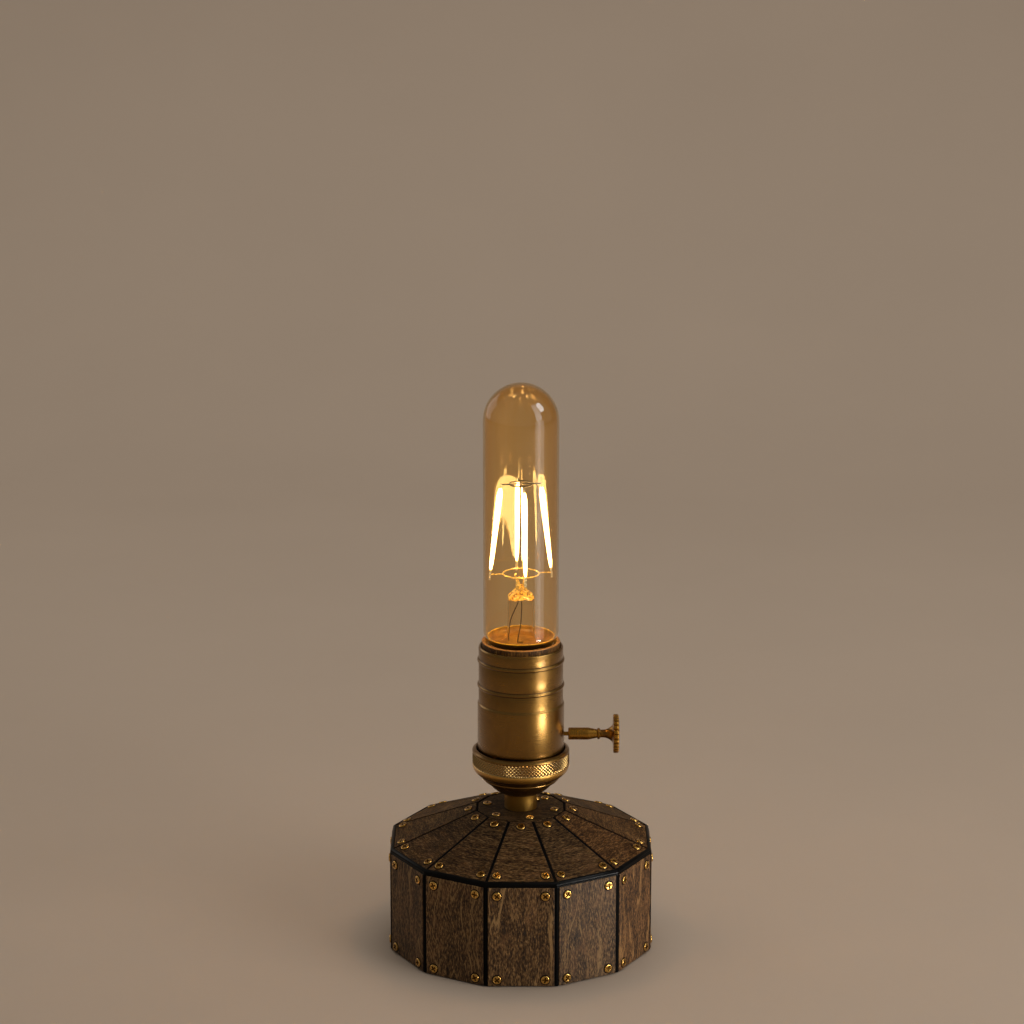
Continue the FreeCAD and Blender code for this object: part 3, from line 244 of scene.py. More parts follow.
def wood(name, grain, light=1, spec=0.24, veins=0.7):
    """Dark stained wood: fine fibres, open pores, pale veins. Its grain runs "up" on the side plates or
    "round" on the roof plates, both with dark arrises, or "across" on one flat board."""
    paint = Paint(name)
    if grain == "across":
        run, side, deep = paint.place()
        own = 0.37
    else:
        angle, reach, z = paint.round_place()
        number = paint.math("ROUND", paint.math("DIVIDE", paint.plus(angle, pi / 2), 2 * HALF_SIDE))
        middle = paint.minus(paint.times(number, 2 * HALF_SIDE), pi / 2)
        local = paint.minus(angle, middle)
        across = paint.times(reach, paint.math("SINE", local))
        outward = paint.times(reach, paint.math("COSINE", local))
        own = paint.add("TexWhiteNoise", {"noise_dimensions": "1D"}, W=number).outputs["Value"]
        run, side, deep = (z, across, outward) if grain == "up" else (across, outward, z)
        side = paint.plus(side, paint.times(own, 900))

    def stretched(over, along, move=0):
        return paint.vector(side, run, paint.plus(paint.times(deep, over), move), (over, along, 1))

    bent = paint.plus(paint.swing(paint.noise(stretched(0.06, 0.03), detail=2), 16), side)
    figure = paint.noise(paint.vector(bent, run, own, (0.11, 0.009, 50)), detail=2, rough=0.4)
    strands = paint.noise(paint.vector(bent, run, deep, (0.85, 0.05, 1)), detail=3, rough=0.6)
    flecks = paint.noise(stretched(2.5, 0.6), detail=4, rough=0.7)
    mottle = paint.noise(stretched(0.22, 0.1), detail=4, rough=0.6, warp=0.4)
    tone = paint.plus(paint.times(flecks, 0.69), paint.times(mottle, 0.09))
    tone = paint.plus(paint.times(strands, 0.22), tone)
    colour = paint.steps(tone, (0.41, (0.01, 0.0045, 0.0015)), (0.475, (0.052, 0.026, 0.0085)),
                         (0.525, (0.112, 0.058, 0.02)), (0.6, (0.275, 0.16, 0.064)))
    # pale veins follow the level lines of the figure, broken by a finer noise
    level = paint.math("FRACT", paint.times(figure, 5.5))
    vein = paint.minus(1, paint.smooth(paint.math("ABSOLUTE", paint.minus(level, 0.5)), 0.01, 0.046))
    broken = paint.smooth(paint.noise(stretched(1.5, 0.35, 7), detail=3), 0.31, 0.46)
    colour = paint.cover(colour, paint.times(vein, broken), veins, (0.34, 0.205, 0.08))
    # some plates are greyer, some redder
    hue = paint.steps(own, (0, (0.84, 0.82, 0.84)), (0.5, (1, 1, 1)), (1, (1.16, 0.95, 0.8)))
    colour = paint.blend(1, colour, hue, "MULTIPLY")
    colour = paint.cover(colour, paint.smooth(mottle, 0.5, 0.7), 0.28, (0.19, 0.085, 0.034))
    pores = paint.smooth(paint.noise(stretched(3.4, 0.55, 3), detail=2), 0.61, 0.68)
    colour = paint.cover(colour, pores, 0.78, (0.014, 0.008, 0.005))
    if grain != "across":
        slope = paint.times(outward, tan(HALF_SIDE))
        half = SIDE_HALF if grain == "up" else paint.minus(slope, SEAM_HALF)
        from_edge = paint.minus(half, paint.math("ABSOLUTE", across))
        edge = paint.minus(1, paint.smooth(from_edge, 0.02, 0.28))
        colour = paint.cover(colour, edge, 0.55, (0.012, 0.008, 0.006))
    # light scales the whole colour; the roof and centre plates take it below 1 as a painted shade
    colour = paint.blend(1, colour, (light, light, light), "MULTIPLY")
    relief = paint.minus(paint.plus(strands, paint.times(flecks, 0.6)), paint.times(pores, 0.8))
    return paint.surface(Base_Color=colour, Roughness=paint.plus(0.46, paint.times(flecks, 0.24)),
                         Specular_IOR_Level=spec, Normal=paint.bump(relief, 0.08, 0.9))


def metal(name, colour, dark, rough, brush=0.5, patina=0.3, axis="z", lacquer=0):
    """Metal turned on a lathe: fine rings of brush marks, patches of darker patina, small specks."""
    paint = Paint(name)
    x, y, z = paint.place()
    if axis == "x":
        x, z = z, x
    blot = paint.noise(paint.vector(x, y, z, (0.13, 0.13, 0.1)), detail=5, rough=0.6, warp=0.6)
    rings = paint.noise(paint.vector(x, y, z, (0.05, 0.05, 7)), detail=4, rough=0.65)
    specks = paint.noise(paint.vector(x, y, z), scale=1.7, detail=2)
    worn = paint.smooth(blot, 0.44, 0.74)
    shade = paint.cover(colour, worn, patina, dark)
    shade = paint.cover(shade, paint.smooth(specks, 0.68, 0.78), 0.4 * patina, dark)
    shade = paint.cover(shade, rings, 0.18, dark)
    gloss = paint.plus(paint.swing(rings, 0.22), paint.plus(rough, paint.times(worn, 0.12)), clamp=True)
    return paint.surface(Base_Color=shade, Metallic=1, Roughness=gloss, Coat_Weight=lacquer,
                         Coat_Roughness=0.27, Normal=paint.bump(rings, 0.012, brush))


def plastic(name, colour, other, rough, depth=0.02, scale=1.2, spec=0.5):
    """Moulded plastic, rubber or paint with a fine grain and slight mottling."""
    paint = Paint(name)
    at = paint.at()
    cloud = paint.noise(at, scale=0.12 * scale, detail=5)
    grain = paint.noise(at, scale=3 * scale, detail=3)
    shade = paint.blend(paint.smooth(cloud, 0.35, 0.7), colour, other)
    gloss = paint.plus(rough, paint.swing(cloud, 0.25), clamp=True)
    return paint.surface(Base_Color=shade, Roughness=gloss, Specular_IOR_Level=spec,
                         Normal=paint.bump(grain, depth, 0.7))


def fibre(name):
    """Brown wound-fibre tube: upright strands over darker layers."""
    paint = Paint(name)
    angle, reach, z = paint.round_place()
    turn = paint.times(angle, 15)
    strands = paint.noise(paint.vector(turn, z, reach, (2.6, 0.35, 1)), detail=4, rough=0.7)
    layers = paint.noise(paint.vector(turn, z, reach, (1, 0.2, 6)), detail=2)
    colour = paint.steps(strands, (0.38, (0.014, 0.005, 0.001)), (0.5, (0.065, 0.027, 0.005)),
                         (0.62, (0.24, 0.11, 0.025)))
    colour = paint.cover(colour, layers, 0.4, (0.06, 0.025, 0.006))
    return paint.surface(Base_Color=colour, Roughness=paint.plus(0.4, paint.times(layers, 0.25)),
                         Specular_IOR_Level=0.15, Normal=paint.bump(strands, 0.06, 0.8))


def porcelain(name):
    paint = Paint(name)
    speck = paint.noise(paint.at(), scale=0.8, detail=4)
    colour = paint.steps(speck, (0.3, (0.74, 0.72, 0.66)), (0.7, (0.84, 0.82, 0.77)))
    return paint.surface(Base_Color=colour, Roughness=0.22, Coat_Weight=0.4,
                         Normal=paint.bump(speck, 0.02, 0.4))


def felt(name, colour):
    paint = Paint(name)
    fuzz = paint.noise(paint.at(), scale=2.6, detail=6, rough=0.75, warp=1.2)
    tint = paint.blend(fuzz, dimmed(colour, 0.5), dimmed(colour, 1.5))
    return paint.surface(Base_Color=tint, Roughness=0.95, Sheen_Weight=0.5,
                         Normal=paint.bump(fuzz, 0.15, 0.9))


def glass(name, tint, rim, ior=1.45, ripple=0.006):
    """Clear tinted glass, paler at its foot and deeper where it turns away; lamps shine through it."""
    pale_below, fade = 130, 90
    paint = Paint(name)
    x, y, z = paint.place()
    wave = paint.noise(paint.vector(x, y, z, (0.3, 0.3, 0.04)), detail=2)
    cloud = paint.noise(paint.vector(x, y, z), scale=0.05, detail=2)
    rise = paint.math("DIVIDE", paint.minus(z, pale_below), fade)
    level = paint.plus(rise, paint.swing(cloud, 0.2), clamp=True)
    cast = paint.blend(level, tuple(c ** 0.65 for c in tint), tint)
    streak = paint.noise(paint.vector(x, y, z, (1, 1, 0.03)), scale=0.45, detail=2)
    cast = paint.cover(cast, paint.smooth(streak, 0.4, 0.62), 0.16, (1, 0.93, 0.78))
    turned = paint.add("LayerWeight", Blend=0.32).outputs["Facing"]
    cast = paint.cover(cast, turned, 0.8, rim)
    pane = paint.add("BsdfPrincipled", Base_Color=cast, Roughness=0, IOR=ior, Transmission_Weight=1,
                     Normal=paint.bump(wave, ripple, 1))
    clear = paint.add("BsdfTransparent", Color=tint)
    return paint.finish(paint.either(paint.add("LightPath").outputs["Is Shadow Ray"], pane, clear))


def lit(name, colour, glow, strength, metallic=0, rough=0.3, scale=0.35, low=0.45):
    """A surface with a painted glow that stands in for the filaments' light: its own colour and an emitted
    glow that varies down to low.
    """
    paint = Paint(name)
    at = paint.at()
    cloud = paint.noise(at, scale=scale, detail=4, warp=0.5)
    fine = paint.noise(at, scale=2.2, detail=3)
    warm = paint.blend(paint.smooth(cloud, 0.38, 0.62), dimmed(glow, low), glow)
    tint = paint.blend(paint.smooth(fine, 0.35, 0.7), dimmed(colour, 0.6), colour)
    gloss = paint.plus(rough, paint.swing(fine, 0.3))
    return paint.surface(Base_Color=tint, Metallic=metallic, Roughness=gloss, Emission_Color=warm,
                         Emission_Strength=strength, Normal=paint.bump(fine, 0.03, 0.6))


def glowing(name, hot, edge, strength, seen=1):
    """Lit filament: hot patches along its length; seen below 1 lets what is inside show through."""
    paint = Paint(name)
    beads = paint.noise(paint.vector(*paint.place(), (1, 1, 1.4)), detail=2)
    light = paint.add("Emission", Color=paint.blend(beads, edge, hot), Strength=strength)
    if seen < 1:
        light = paint.either(seen, paint.add("BsdfTransparent"), light)
    return paint.finish(light)


def linen(name, colour):
    """Plain pale floor with a faint cloud in its colour."""
    paint = Paint(name)
    cloud = paint.noise(paint.at(), scale=0.006, detail=5)
    tint = paint.blend(cloud, dimmed(colour, 0.95), dimmed(colour, 1.04))
    return paint.surface(Base_Color=tint, Roughness=0.85, Specular_IOR_Level=0)


BRASS = (0.235, 0.117, 0.011)
BRASS_DARK = (0.085, 0.034, 0.004)
JET = (0.0012, 0.0011, 0.001)
side_wood = wood("side_wood", "up")
# the roof and centre plates are the side wood with its colour scaled darker: a painted shade on their
# upward faces
roof_wood_painted_shade = wood("roof_wood_painted_shade", "round", 0.52, 0.08, 0.4)
centre_wood_painted_shade = wood("centre_wood_painted_shade", "across", 0.52, 0.08, 0.3)
board_wood = wood("board_wood", "across", 1.3)
carcass_black = plastic("carcass_black", JET, (0.003, 0.0026, 0.0023), 0.7, 0.05, spec=0.04)
rim_black = plastic("rim_black", JET, (0.003, 0.0028, 0.0026), 0.34, 0.01, 0.6, spec=0.07)
holder_brass = metal("holder_brass", BRASS, BRASS_DARK, 0.28, patina=0.25, lacquer=0.6)
# a dark copy of the brass: painted shade in the grooves and on the ring's inner wall
groove_painted_shade = metal("groove_painted_shade", (0.1, 0.042, 0.006), (0.03, 0.012, 0.002), 0.4, lacquer=0.5)
# a brighter copy of the brass: painted light on the neck and on the ring's lower band
brass_painted_light = metal("brass_painted_light", (0.6, 0.32, 0.05), (0.2, 0.09, 0.01), 0.34, patina=0.2, lacquer=0.8)
knurl_brass = metal("knurl_brass", (0.48, 0.29, 0.08), BRASS_DARK, 0.17, 0.1, patina=0.1, lacquer=0.9)
key_bronze = metal("key_bronze", (0.4, 0.185, 0.012), (0.09, 0.03, 0.002), 0.26, 0.5, 0.7, "x", 0.4)
screw_brass = metal("screw_brass", (0.66, 0.37, 0.065), (0.2, 0.09, 0.012), 0.24, 0.2, 0.5, lacquer=0.8)
# darker metal in the screws' cross recesses: painted shade
recess_painted_shade = metal("recess_painted_shade", (0.12, 0.052, 0.006), (0.03, 0.012, 0.002), 0.5, 0.2, patina=0.8)
# near-black: painted shadow round the screw heads and under the bulb's foot dish
painted_shadow_black = plastic("painted_shadow_black", (0.003, 0.002, 0.001), (0.008, 0.005, 0.003), 0.6, spec=0.1)
cap_brass = metal("cap_brass", (0.6, 0.42, 0.19), (0.3, 0.18, 0.06), 0.27)
steel = metal("steel", (0.55, 0.55, 0.54), (0.28, 0.27, 0.25), 0.32)
wire_dark = metal("wire_dark", (0.1, 0.085, 0.075), (0.04, 0.03, 0.025), 0.35, 0.1)
lead_dark = metal("lead_dark", (0.1, 0.07, 0.05), (0.04, 0.025, 0.018), 0.4, 0.1)
# painted glow: these surfaces emit light to stand in for the filaments' light falling on them
wire_gold_painted_glow = lit("wire_gold_painted_glow", (0.8, 0.52, 0.18), (1, 0.62, 0.16), 0.75, 1, 0.25, scale=0.9, low=0.3)
tab_steel_painted_glow = lit("tab_steel_painted_glow", (0.9, 0.86, 0.78), (1, 0.86, 0.62), 0.45, 1, 0.25, scale=0.8)
fibre_lit = lit("fibre_lit", (0.26, 0.11, 0.025), (1, 0.42, 0.06), 0.16, rough=0.5, scale=0.6, low=0.3)
press_painted_glow = lit("press_painted_glow", (0.45, 0.2, 0.03), (1, 0.55, 0.08), 0.95, rough=0.12, scale=0.8, low=0.08)
dish_painted_glow = lit("dish_painted_glow", (0.16, 0.056, 0.001), (1, 0.46, 0), 0.21, rough=0.4, scale=0.25, low=0.35)
dish_rim_painted_glow = lit("dish_rim_painted_glow", (0.45, 0.24, 0.02), (1, 0.6, 0.03), 0.42, low=0.3)
fibre_brown = fibre("fibre_brown")
porcelain_white = porcelain("porcelain_white")
felt_black = felt("felt_black", (0.018, 0.017, 0.017))
bushing_black = plastic("bushing_black", (0.012, 0.012, 0.012), (0.024, 0.023, 0.022), 0.5)
cream_plastic = plastic("cream_plastic", (0.62, 0.57, 0.46), (0.72, 0.68, 0.58), 0.45)
wire_cover = plastic("wire_cover", (0.13, 0.07, 0.03), (0.18, 0.1, 0.05), 0.45)
black_glass = plastic("black_glass", (0.012, 0.012, 0.016), (0.03, 0.03, 0.035), 0.12, spec=0.6)
solder_grey = metal("solder_grey", (0.62, 0.61, 0.58), (0.36, 0.35, 0.33), 0.34)
board_green = plastic("board_green", (0.02, 0.12, 0.05), (0.03, 0.16, 0.07), 0.4)
amber_glass = glass("amber_glass", (1, 0.8, 0.47), (0.78, 0.46, 0.16))
stem_glass = glass("stem_glass", (1, 0.96, 0.88), (0.85, 0.7, 0.5), ior=1.12, ripple=0.02)
filament_core = glowing("filament_core", (1, 0.8, 0.46), (1, 0.72, 0.36), 170)
filament_coat = glowing("filament_coat", (1, 0.66, 0.2), (1, 0.52, 0.11), 2.2, 0.5)
floor_linen = linen("floor_linen", (0.37, 0.295, 0.23))


# ---- forms ----

ARC_STEP = 15
ALONG_X = Matrix(((0, 0, 1, 0), (0, 1, 0, 0), (-1, 0, 0, 0), (0, 0, 0, 1)))
ALONG_Y = Matrix(((1, 0, 0, 0), (0, 0, 1, 0), (0, -1, 0, 0), (0, 0, 0, 1)))


def spin(angle):
    return Matrix.Rotation(radians(angle), 4, "Z")


def shift(x, y, z):
    return Matrix.Translation((x, y, z))


def arc(centre, radii, bearings):
    """Points of a flat arc or ellipse, at bearings in degrees."""
    turns = [radians(a) for a in bearings]
    return [(centre[0] + radii[0] * cos(t), centre[1] + radii[1] * sin(t)) for t in turns]


def circle(radius, height, count, start=0):
    """Points round the axis; start is the first one's angle in degrees."""
    bearings = [start + 360 * k / count for k in range(count)]
    return [(x, y, height) for x, y in arc((0, 0), (radius, radius), bearings)]


def rounded(corners, closed=True):
    """The outline through corners (across, up, radius), each rounded by its radius."""
    points = []
    for number, (x, y, radius) in enumerate(corners):
        here = Vector((x, y))
        ends = not closed and number in (0, len(corners) - 1)
        if radius <= 0 or ends:
            points.append((x, y))
            continue
        before = Vector(corners[number - 1][:2]) - here
        after = Vector(corners[(number + 1) % len(corners)][:2]) - here
        one, two = before.normalized(), after.normalized()
        opening = one.angle(two)
        reach = min(radius / tan(opening / 2), 0.49 * before.length, 0.49 * after.length)
        radius = reach * tan(opening / 2)
        centre = here + (one + two).normalized() * (radius / sin(opening / 2))
        start, end = here + one * reach - centre, here + two * reach - centre
        sweep = start.angle_signed(end)
        count = max(1, round(abs(degrees(sweep)) / ARC_STEP))
        for step in range(count + 1):
            arm = start.copy()
            arm.rotate(Matrix.Rotation(-sweep * step / count, 2))
            points.append(tuple(centre + arm))
    return points


def smooth_line(points, steps=6):
    """A Catmull-Rom line through the points."""
    padded = [Vector(p) for p in (points[0], *points, points[-1])]
    line = []
    for a, b, c, d in zip(padded, padded[1:], padded[2:], padded[3:]):
        for step in range(steps):
            t = step / steps
            line.append(tuple(0.5 * (2 * b + (c - a) * t + (2 * a - 5 * b + 4 * c - d) * t**2
                                     + (3 * b - a - 3 * c + d) * t**3)))
    return [*line, tuple(points[-1])]


def painted(*parts):
    """An outline and its paints, from parts (paint, points); a point's paint holds up to the next point."""
    outline = [point for _, points in parts for point in points]
    return outline, [paint for paint, points in parts for _ in points]


def inset_outline(points, distance):
    """A flat convex outline with each side moved in by a distance."""
    if distance == 0:
        return list(points)
    normal = (points[1] - points[0]).cross(points[2] - points[1]).normalized()
    count = len(points)
    moved = []
    for number, here in enumerate(points):
        before = (here - points[number - 1]).normalized()
        after = (points[(number + 1) % count] - here).normalized()
        in_before, in_after = normal.cross(before), normal.cross(after)
        half = in_before + in_after
        moved.append(here + half * (distance / (1 + in_before.dot(in_after))))
    return moved


def bands(rows, size, loop=False):
    """Four-sided faces between rows that are rings of so many points each."""
    pairs = [(size * row, size * ((row + 1) % rows)) for row in range(rows if loop else rows - 1)]
    return [[low + k, low + (k + 1) % size, high + (k + 1) % size, high + k]
            for low, high in pairs for k in range(size)]


class Form:
    """Points in millimetres, and faces that each have the number of a material."""

    def __init__(self):
        self.points, self.faces, self.paints = [], [], []

    def add(self, points, faces, paint=0, move=None):
        first = len(self.points)
        points = [Vector(p) for p in points]
        self.points += [move @ p for p in points] if move else points
        self.faces += [[first + i for i in face] for face in faces]
        self.paints += paint if isinstance(paint, list) else [paint] * len(faces)

    def stack(self, rings, paint=0, move=None, loop=False):
        """A skin over rings of as many points, with a face on both ends or looped back to the first."""
        size = len(rings[0])
        faces = bands(len(rings), size, loop)
        if not loop:
            last = size * (len(rings) - 1)
            faces += [list(range(size))[::-1], list(range(last, last + size))]
        self.add([p for ring in rings for p in ring], faces, paint, move)

    def lathe(self, outline, steps=96, paint=0, loop=True, move=None, start=0, wave=None):
        """Turns an outline of (radius, height) round Z. wave changes a point's radius by its number in the
        outline, its angle and its height."""
        points, rings = [], []
        for number, (reach, height) in enumerate(outline):
            if reach < 1e-6:
                rings.append([len(points)] * steps)
                points.append((0, 0, height))
                continue
            rings.append(list(range(len(points), len(points) + steps)))
            for step in range(steps):
                turn = start + 2 * pi * step / steps
                radius = reach + (wave(number, turn, height) if wave else 0)
                points.append((radius * cos(turn), radius * sin(turn), height))
        faces, paints = [], []
        pairs = list(zip(rings, rings[1:])) + ([(rings[-1], rings[0])] if loop else [])
        for number, (low, high) in enumerate(pairs):
            for step in range(steps):
                after = (step + 1) % steps
                corners = [low[step], low[after], high[after], high[step]]
                face = [c for i, c in enumerate(corners) if c != corners[i - 1]]
                if len(set(face)) > 2:
                    faces.append(face)
                    paints.append(paint[number] if isinstance(paint, list) else paint)
        self.add(points, faces, paints, move)

    def slab(self, lower, upper, edge, move=None, hole=None):
        """A plate between two outlines, its upper edge eased by so much. A hole is two more outlines."""
        lower, upper = [Vector(p) for p in lower], [Vector(p) for p in upper]
        down = [(low - up).normalized() for low, up in zip(lower, upper)]
        rings = [lower]
        for sunk, inset in ((1, 0), (0.3, 0.3), (0, 1)):
            drawn = inset_outline(upper, inset * edge)
            rings.append([p + d * (sunk * edge) for p, d in zip(drawn, down)])
        if not hole:
            self.stack(rings, move=move)
            return
        size, count = len(lower), len(hole[0])
        points = [Vector(p) for ring in (*rings, *hole) for p in ring]
        first = size * len(rings)
        faces = bands(len(rings), size) + [[first + i for i in face] for face in bands(2, count)]
        for outer, inner in ((0, first), (first - size, first + count)):
            both = [*range(outer, outer + size), *range(inner, inner + count)]
            outlines = [[points[i] for i in both[:size]], [points[i] for i in both[size:]]]
            faces += [[both[i] for i in face] for face in tessellate_polygon(outlines)]
        self.add(points, faces, move=move)

    def tube(self, path, radius, sides=10, paint=0, move=None, closed=False):
        """A round wire along a path; radius may be a list."""
        path = [Vector(p) for p in path]
        count = len(path)
        radii = radius if isinstance(radius, list) else [radius] * count
        turns = [2 * pi * k / sides for k in range(sides)]
        rings = []
        side = None
        for number, here in enumerate(path):
            ahead = path[(number + 1) % count] if closed or number + 1 < count else here
            behind = path[number - 1] if closed or number else here
            along = (ahead - behind).normalized()
            if side is None:
                side = along.orthogonal().normalized()
            side = (side - along * side.dot(along)).normalized()
            other = along.cross(side)
            rings.append([here + (side * cos(t) + other * sin(t)) * radii[number] for t in turns])
        self.stack(rings, paint, move, closed)

    def mesh(self, name):
        """A mesh in metres whose faces all look outward."""
        made = bpy.data.meshes.new(name)
        made.from_pydata([p * MM for p in self.points], [], self.faces)
        shaped = bmesh.new()
        shaped.from_mesh(made)
        bmesh.ops.recalc_face_normals(shaped, faces=shaped.faces)
        shaped.to_mesh(made)
        shaped.free()
        return made

    def show(self, name, materials, crease=32):
        """A visible object, smooth but for edges past the crease angle."""
        mesh = self.mesh(name)
        for material in materials:
            mesh.materials.append(material)
        mesh.polygons.foreach_set("material_index", self.paints)
        mesh.polygons.foreach_set("use_smooth", [True] * len(self.faces))
        mesh.set_sharp_from_angle(angle=radians(crease))
        return link(name, mesh)

    def piece(self, name, body, slot, materials, replaces=(), crease=32):
        """The finished object, riding on a body in place of the CAD nodes it replaces."""
        made = self.show(name, materials, crease)
        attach(made, body)
        if replaces:
            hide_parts(*replaces)
        return made


def turned(name, body, slot, materials, node, outline, crease=32, **how):
    """A piece that is one turned outline."""
    form = Form()
    form.lathe(outline, **how)
    return form.piece(name, body, slot, materials, [node], crease)


# ---- floor ----

floor = Form()
floor_half, bend = 3500, 500
sweep = [(-2500, 0), *arc((700, bend), (bend, bend), range(-90, 1, 6)), (1200, 3200)]
ribbon = [(x, y, z) for y, z in sweep for x in (-floor_half, floor_half)]
floor.add(ribbon, [[2 * i, 2 * i + 1, 2 * i + 3, 2 * i + 2] for i in range(len(sweep) - 1)])
studio_floor = floor.show("studio_floor", [floor_linen])


# ---- drum ----


def bearing(number):
    return 360 / SIDES * number - 90


def numbered(stem):
    """The names of the twelve CAD nodes of one kind."""
    return [f"{stem}_{n:02d}" for n in range(1, SIDES + 1)]


def make_side_plates():
    """Flat plates; the rear one has the cord's hole."""
    plates = Form()
    flat = [(-SIDE_HALF, SIDE_LOW), (SIDE_HALF, SIDE_LOW), (SIDE_HALF, SIDE_TOP), (-SIDE_HALF, SIDE_TOP)]
    bore = arc((0, GLAND_HEIGHT), (GLAND_HOLE, GLAND_HOLE), [11.25 * k for k in range(32)])
    back, face = [[(x, y, z) for y, z in flat] for x in (FACE_BACK, FACE)]
    bored = [[(x, y, z) for y, z in bore] for x in (FACE_BACK, FACE)]
    for number in range(SIDES):
        plates.slab(back, face, EDGE, spin(bearing(number)), bored if number == SIDES // 2 else None)
    plates.piece("side_plates", "base", "stained_plate", [side_wood], numbered("side_plate"), crease=12)


def roof_half(reach):
    """Half a roof plate's width so far from the axis."""
    return reach * tan(HALF_SIDE) - SEAM_HALF


def make_roof_plates():
    plates = Form()
    near, far = roof_half(ROOF_IN), roof_half(ROOF_OUT)
    top = [(ROOF_IN, -near, ROOF_TOP), (ROOF_OUT, -far, RIM_TOP), (ROOF_OUT, far, RIM_TOP),
           (ROOF_IN, near, ROOF_TOP)]
    under = [(x, y, z - ROOF_DEPTH) for x, y, z in top]
    for number in range(SIDES):
        plates.slab(under, top, EDGE, spin(bearing(number)))
    plates.piece("roof_plates", "base", "stained_plate", [roof_wood_painted_shade], numbered("roof_plate"), crease=12)


def make_centre_disc():
    disc = Form()
    reach, first = CENTRE_FLATS / cos(HALF_SIDE), degrees(HALF_SIDE)
    disc.slab(circle(reach, DECK_TOP, SIDES, first), circle(reach, CENTRE_TOP, SIDES, first), EDGE)
    disc.piece("centre_disc", "base", "stained_plate", [centre_wood_painted_shade], ["centre_plate"], crease=12)


def make_rim():
    """Black moulding: a flat foot, a fine groove and a rounded top, mitred at the corners."""
    outline = [(50.9, 41.5), (52.28, 41.5), (52.28, 41.95), (52.12, 42.05), (52.16, 42.18),
               *arc((50.95, 42.25), (1.22, 1.42), range(0, 91, 15))]
    turned("rim_moulding", "base", "black_rim", [rim_black], "rim_band",
           [(x / cos(HALF_SIDE), z) for x, z in outline], 26, steps=SIDES, start=HALF_SIDE)


CROSS_ARM, CROSS_HALF = 1.18, 0.32
CROSS_TURNS = [90 * quarter + turn for quarter in range(4) for turn in (0, 15.2, 22, 32, 45, 58, 68, 74.8)]
SIDE_INSET, FOOT_INSET, TOP_INSET = 3.6, 2.7, 3.4
RIM_INSET, INNER_INSET, CORNER_INSET = 2.9, 3.1, 3.3
CENTRE_SCREWS, CENTRE_REACH = 6, 14


def cross_reach(turn):
    """How far a cross recess reaches at a bearing in degrees."""
    fold = radians(min(turn % 90, 90 - turn % 90))
    return min(CROSS_ARM / cos(fold), CROSS_HALF / max(sin(fold), 1e-6))


def screw_form():
    """Raised brass head with a cross recess painted darker as shade, and a ring of painted shadow round it.
    """
    dome = [(1.74, 0), (1.75, 0.2), (1.7, 0.38), (1.58, 0.52), (1.42, 0.59), (1.25, 0.57)]
    recess = [(1, 0.53), (0.86, 0.12), (0.4, 0.06)]
    points = []
    for reach, height in dome + recess:
        for turn in CROSS_TURNS:
            out = reach * cross_reach(turn) if (reach, height) in recess else reach
            points.append((out * cos(radians(turn)), out * sin(radians(turn)), height))
    count, centre = len(CROSS_TURNS), len(points)
    faces = bands(len(dome + recess), count)
    faces += [[centre - count + k, centre - count + (k + 1) % count, centre] for k in range(count)]
    bright = len(dome) * count
    screw = Form()
    screw.add([*points, (0, 0, 0.05)], faces, [0] * bright + [1] * (len(faces) - bright))
    screw.lathe([(1.72, 0.02), (2.06, 0.035), (2.12, 0)], steps=32, paint=2, loop=False)
    return screw


def make_screws():
    head = screw_form()
    screws = Form()

    def drive(seat, out, turn):
        face_out = Vector(out).to_track_quat("Z", "Y").to_matrix().to_4x4()
        move = spin(turn) @ shift(*seat) @ face_out @ spin(draw.uniform(0, 90))
        screws.add(head.points, head.faces, head.paints, move)

    fall = (ROOF_TOP - RIM_TOP) / (ROOF_OUT - ROOF_IN)
    rim_x, inner_x = ROOF_OUT - RIM_INSET, ROOF_IN + INNER_INSET
    corner = rim_x * tan(HALF_SIDE) - CORNER_INSET
    for number in range(SIDES):
        for y in (SIDE_INSET - SIDE_HALF, SIDE_HALF - SIDE_INSET):
            for z in (SIDE_LOW + FOOT_INSET, SIDE_TOP - TOP_INSET):
                drive((FACE, y, z), (1, 0, 0), bearing(number))
        for x, y in ((rim_x, -corner), (rim_x, corner), (inner_x, 0)):
            drive((x, y, RIM_TOP + (ROOF_OUT - x) * fall), (fall, 0, 1), bearing(number))
    for number in range(CENTRE_SCREWS):
        drive((CENTRE_REACH, 0, CENTRE_TOP), (0, 0, 1), 360 / CENTRE_SCREWS * number - 75)
    screws.piece("brass_screws", "base", "brass_screw", [screw_brass, recess_painted_shade, painted_shadow_black],
                 ["plate_screws"])


def make_gland():
    """Black bushing of the cord's hole, with a rounded flange."""
    bore, body, flange, back, front = 3.2, 4.9, 6.5, -13.9, 0.6
    outline = [(bore, back, 0.4), (body, back, 0.4), (body, 0, 0), (flange, 0, 0.15), (flange, front, 0.45),
               (bore, front, 0.3)]
    turned("cord_bushing", "base", "black_bushing", [bushing_black], "cable_gland", rounded(outline),
           steps=48, move=shift(0, FACE, GLAND_HEIGHT) @ ALONG_Y)


make_side_plates()
make_roof_plates()
make_centre_disc()
make_rim()
make_screws()
make_gland()


# ---- lamp holder ----

SHELL_FOOT, STEP_LOW, BEADS = 75, 100.2, (108.35, 118.75)
SHELL_LOW, SHELL_UP, SHELL_BORE = 17.35, 16.9, 15.7
LINER_BORE, LINER_OUT, LINER_LOW, LINER_TOP = 14.3, 15.6, 92, 126.6
KEY_AXIS, KEY_HOLE = 87.33, 1.3
TO_KEY = shift(0, 0, KEY_AXIS) @ ALONG_X


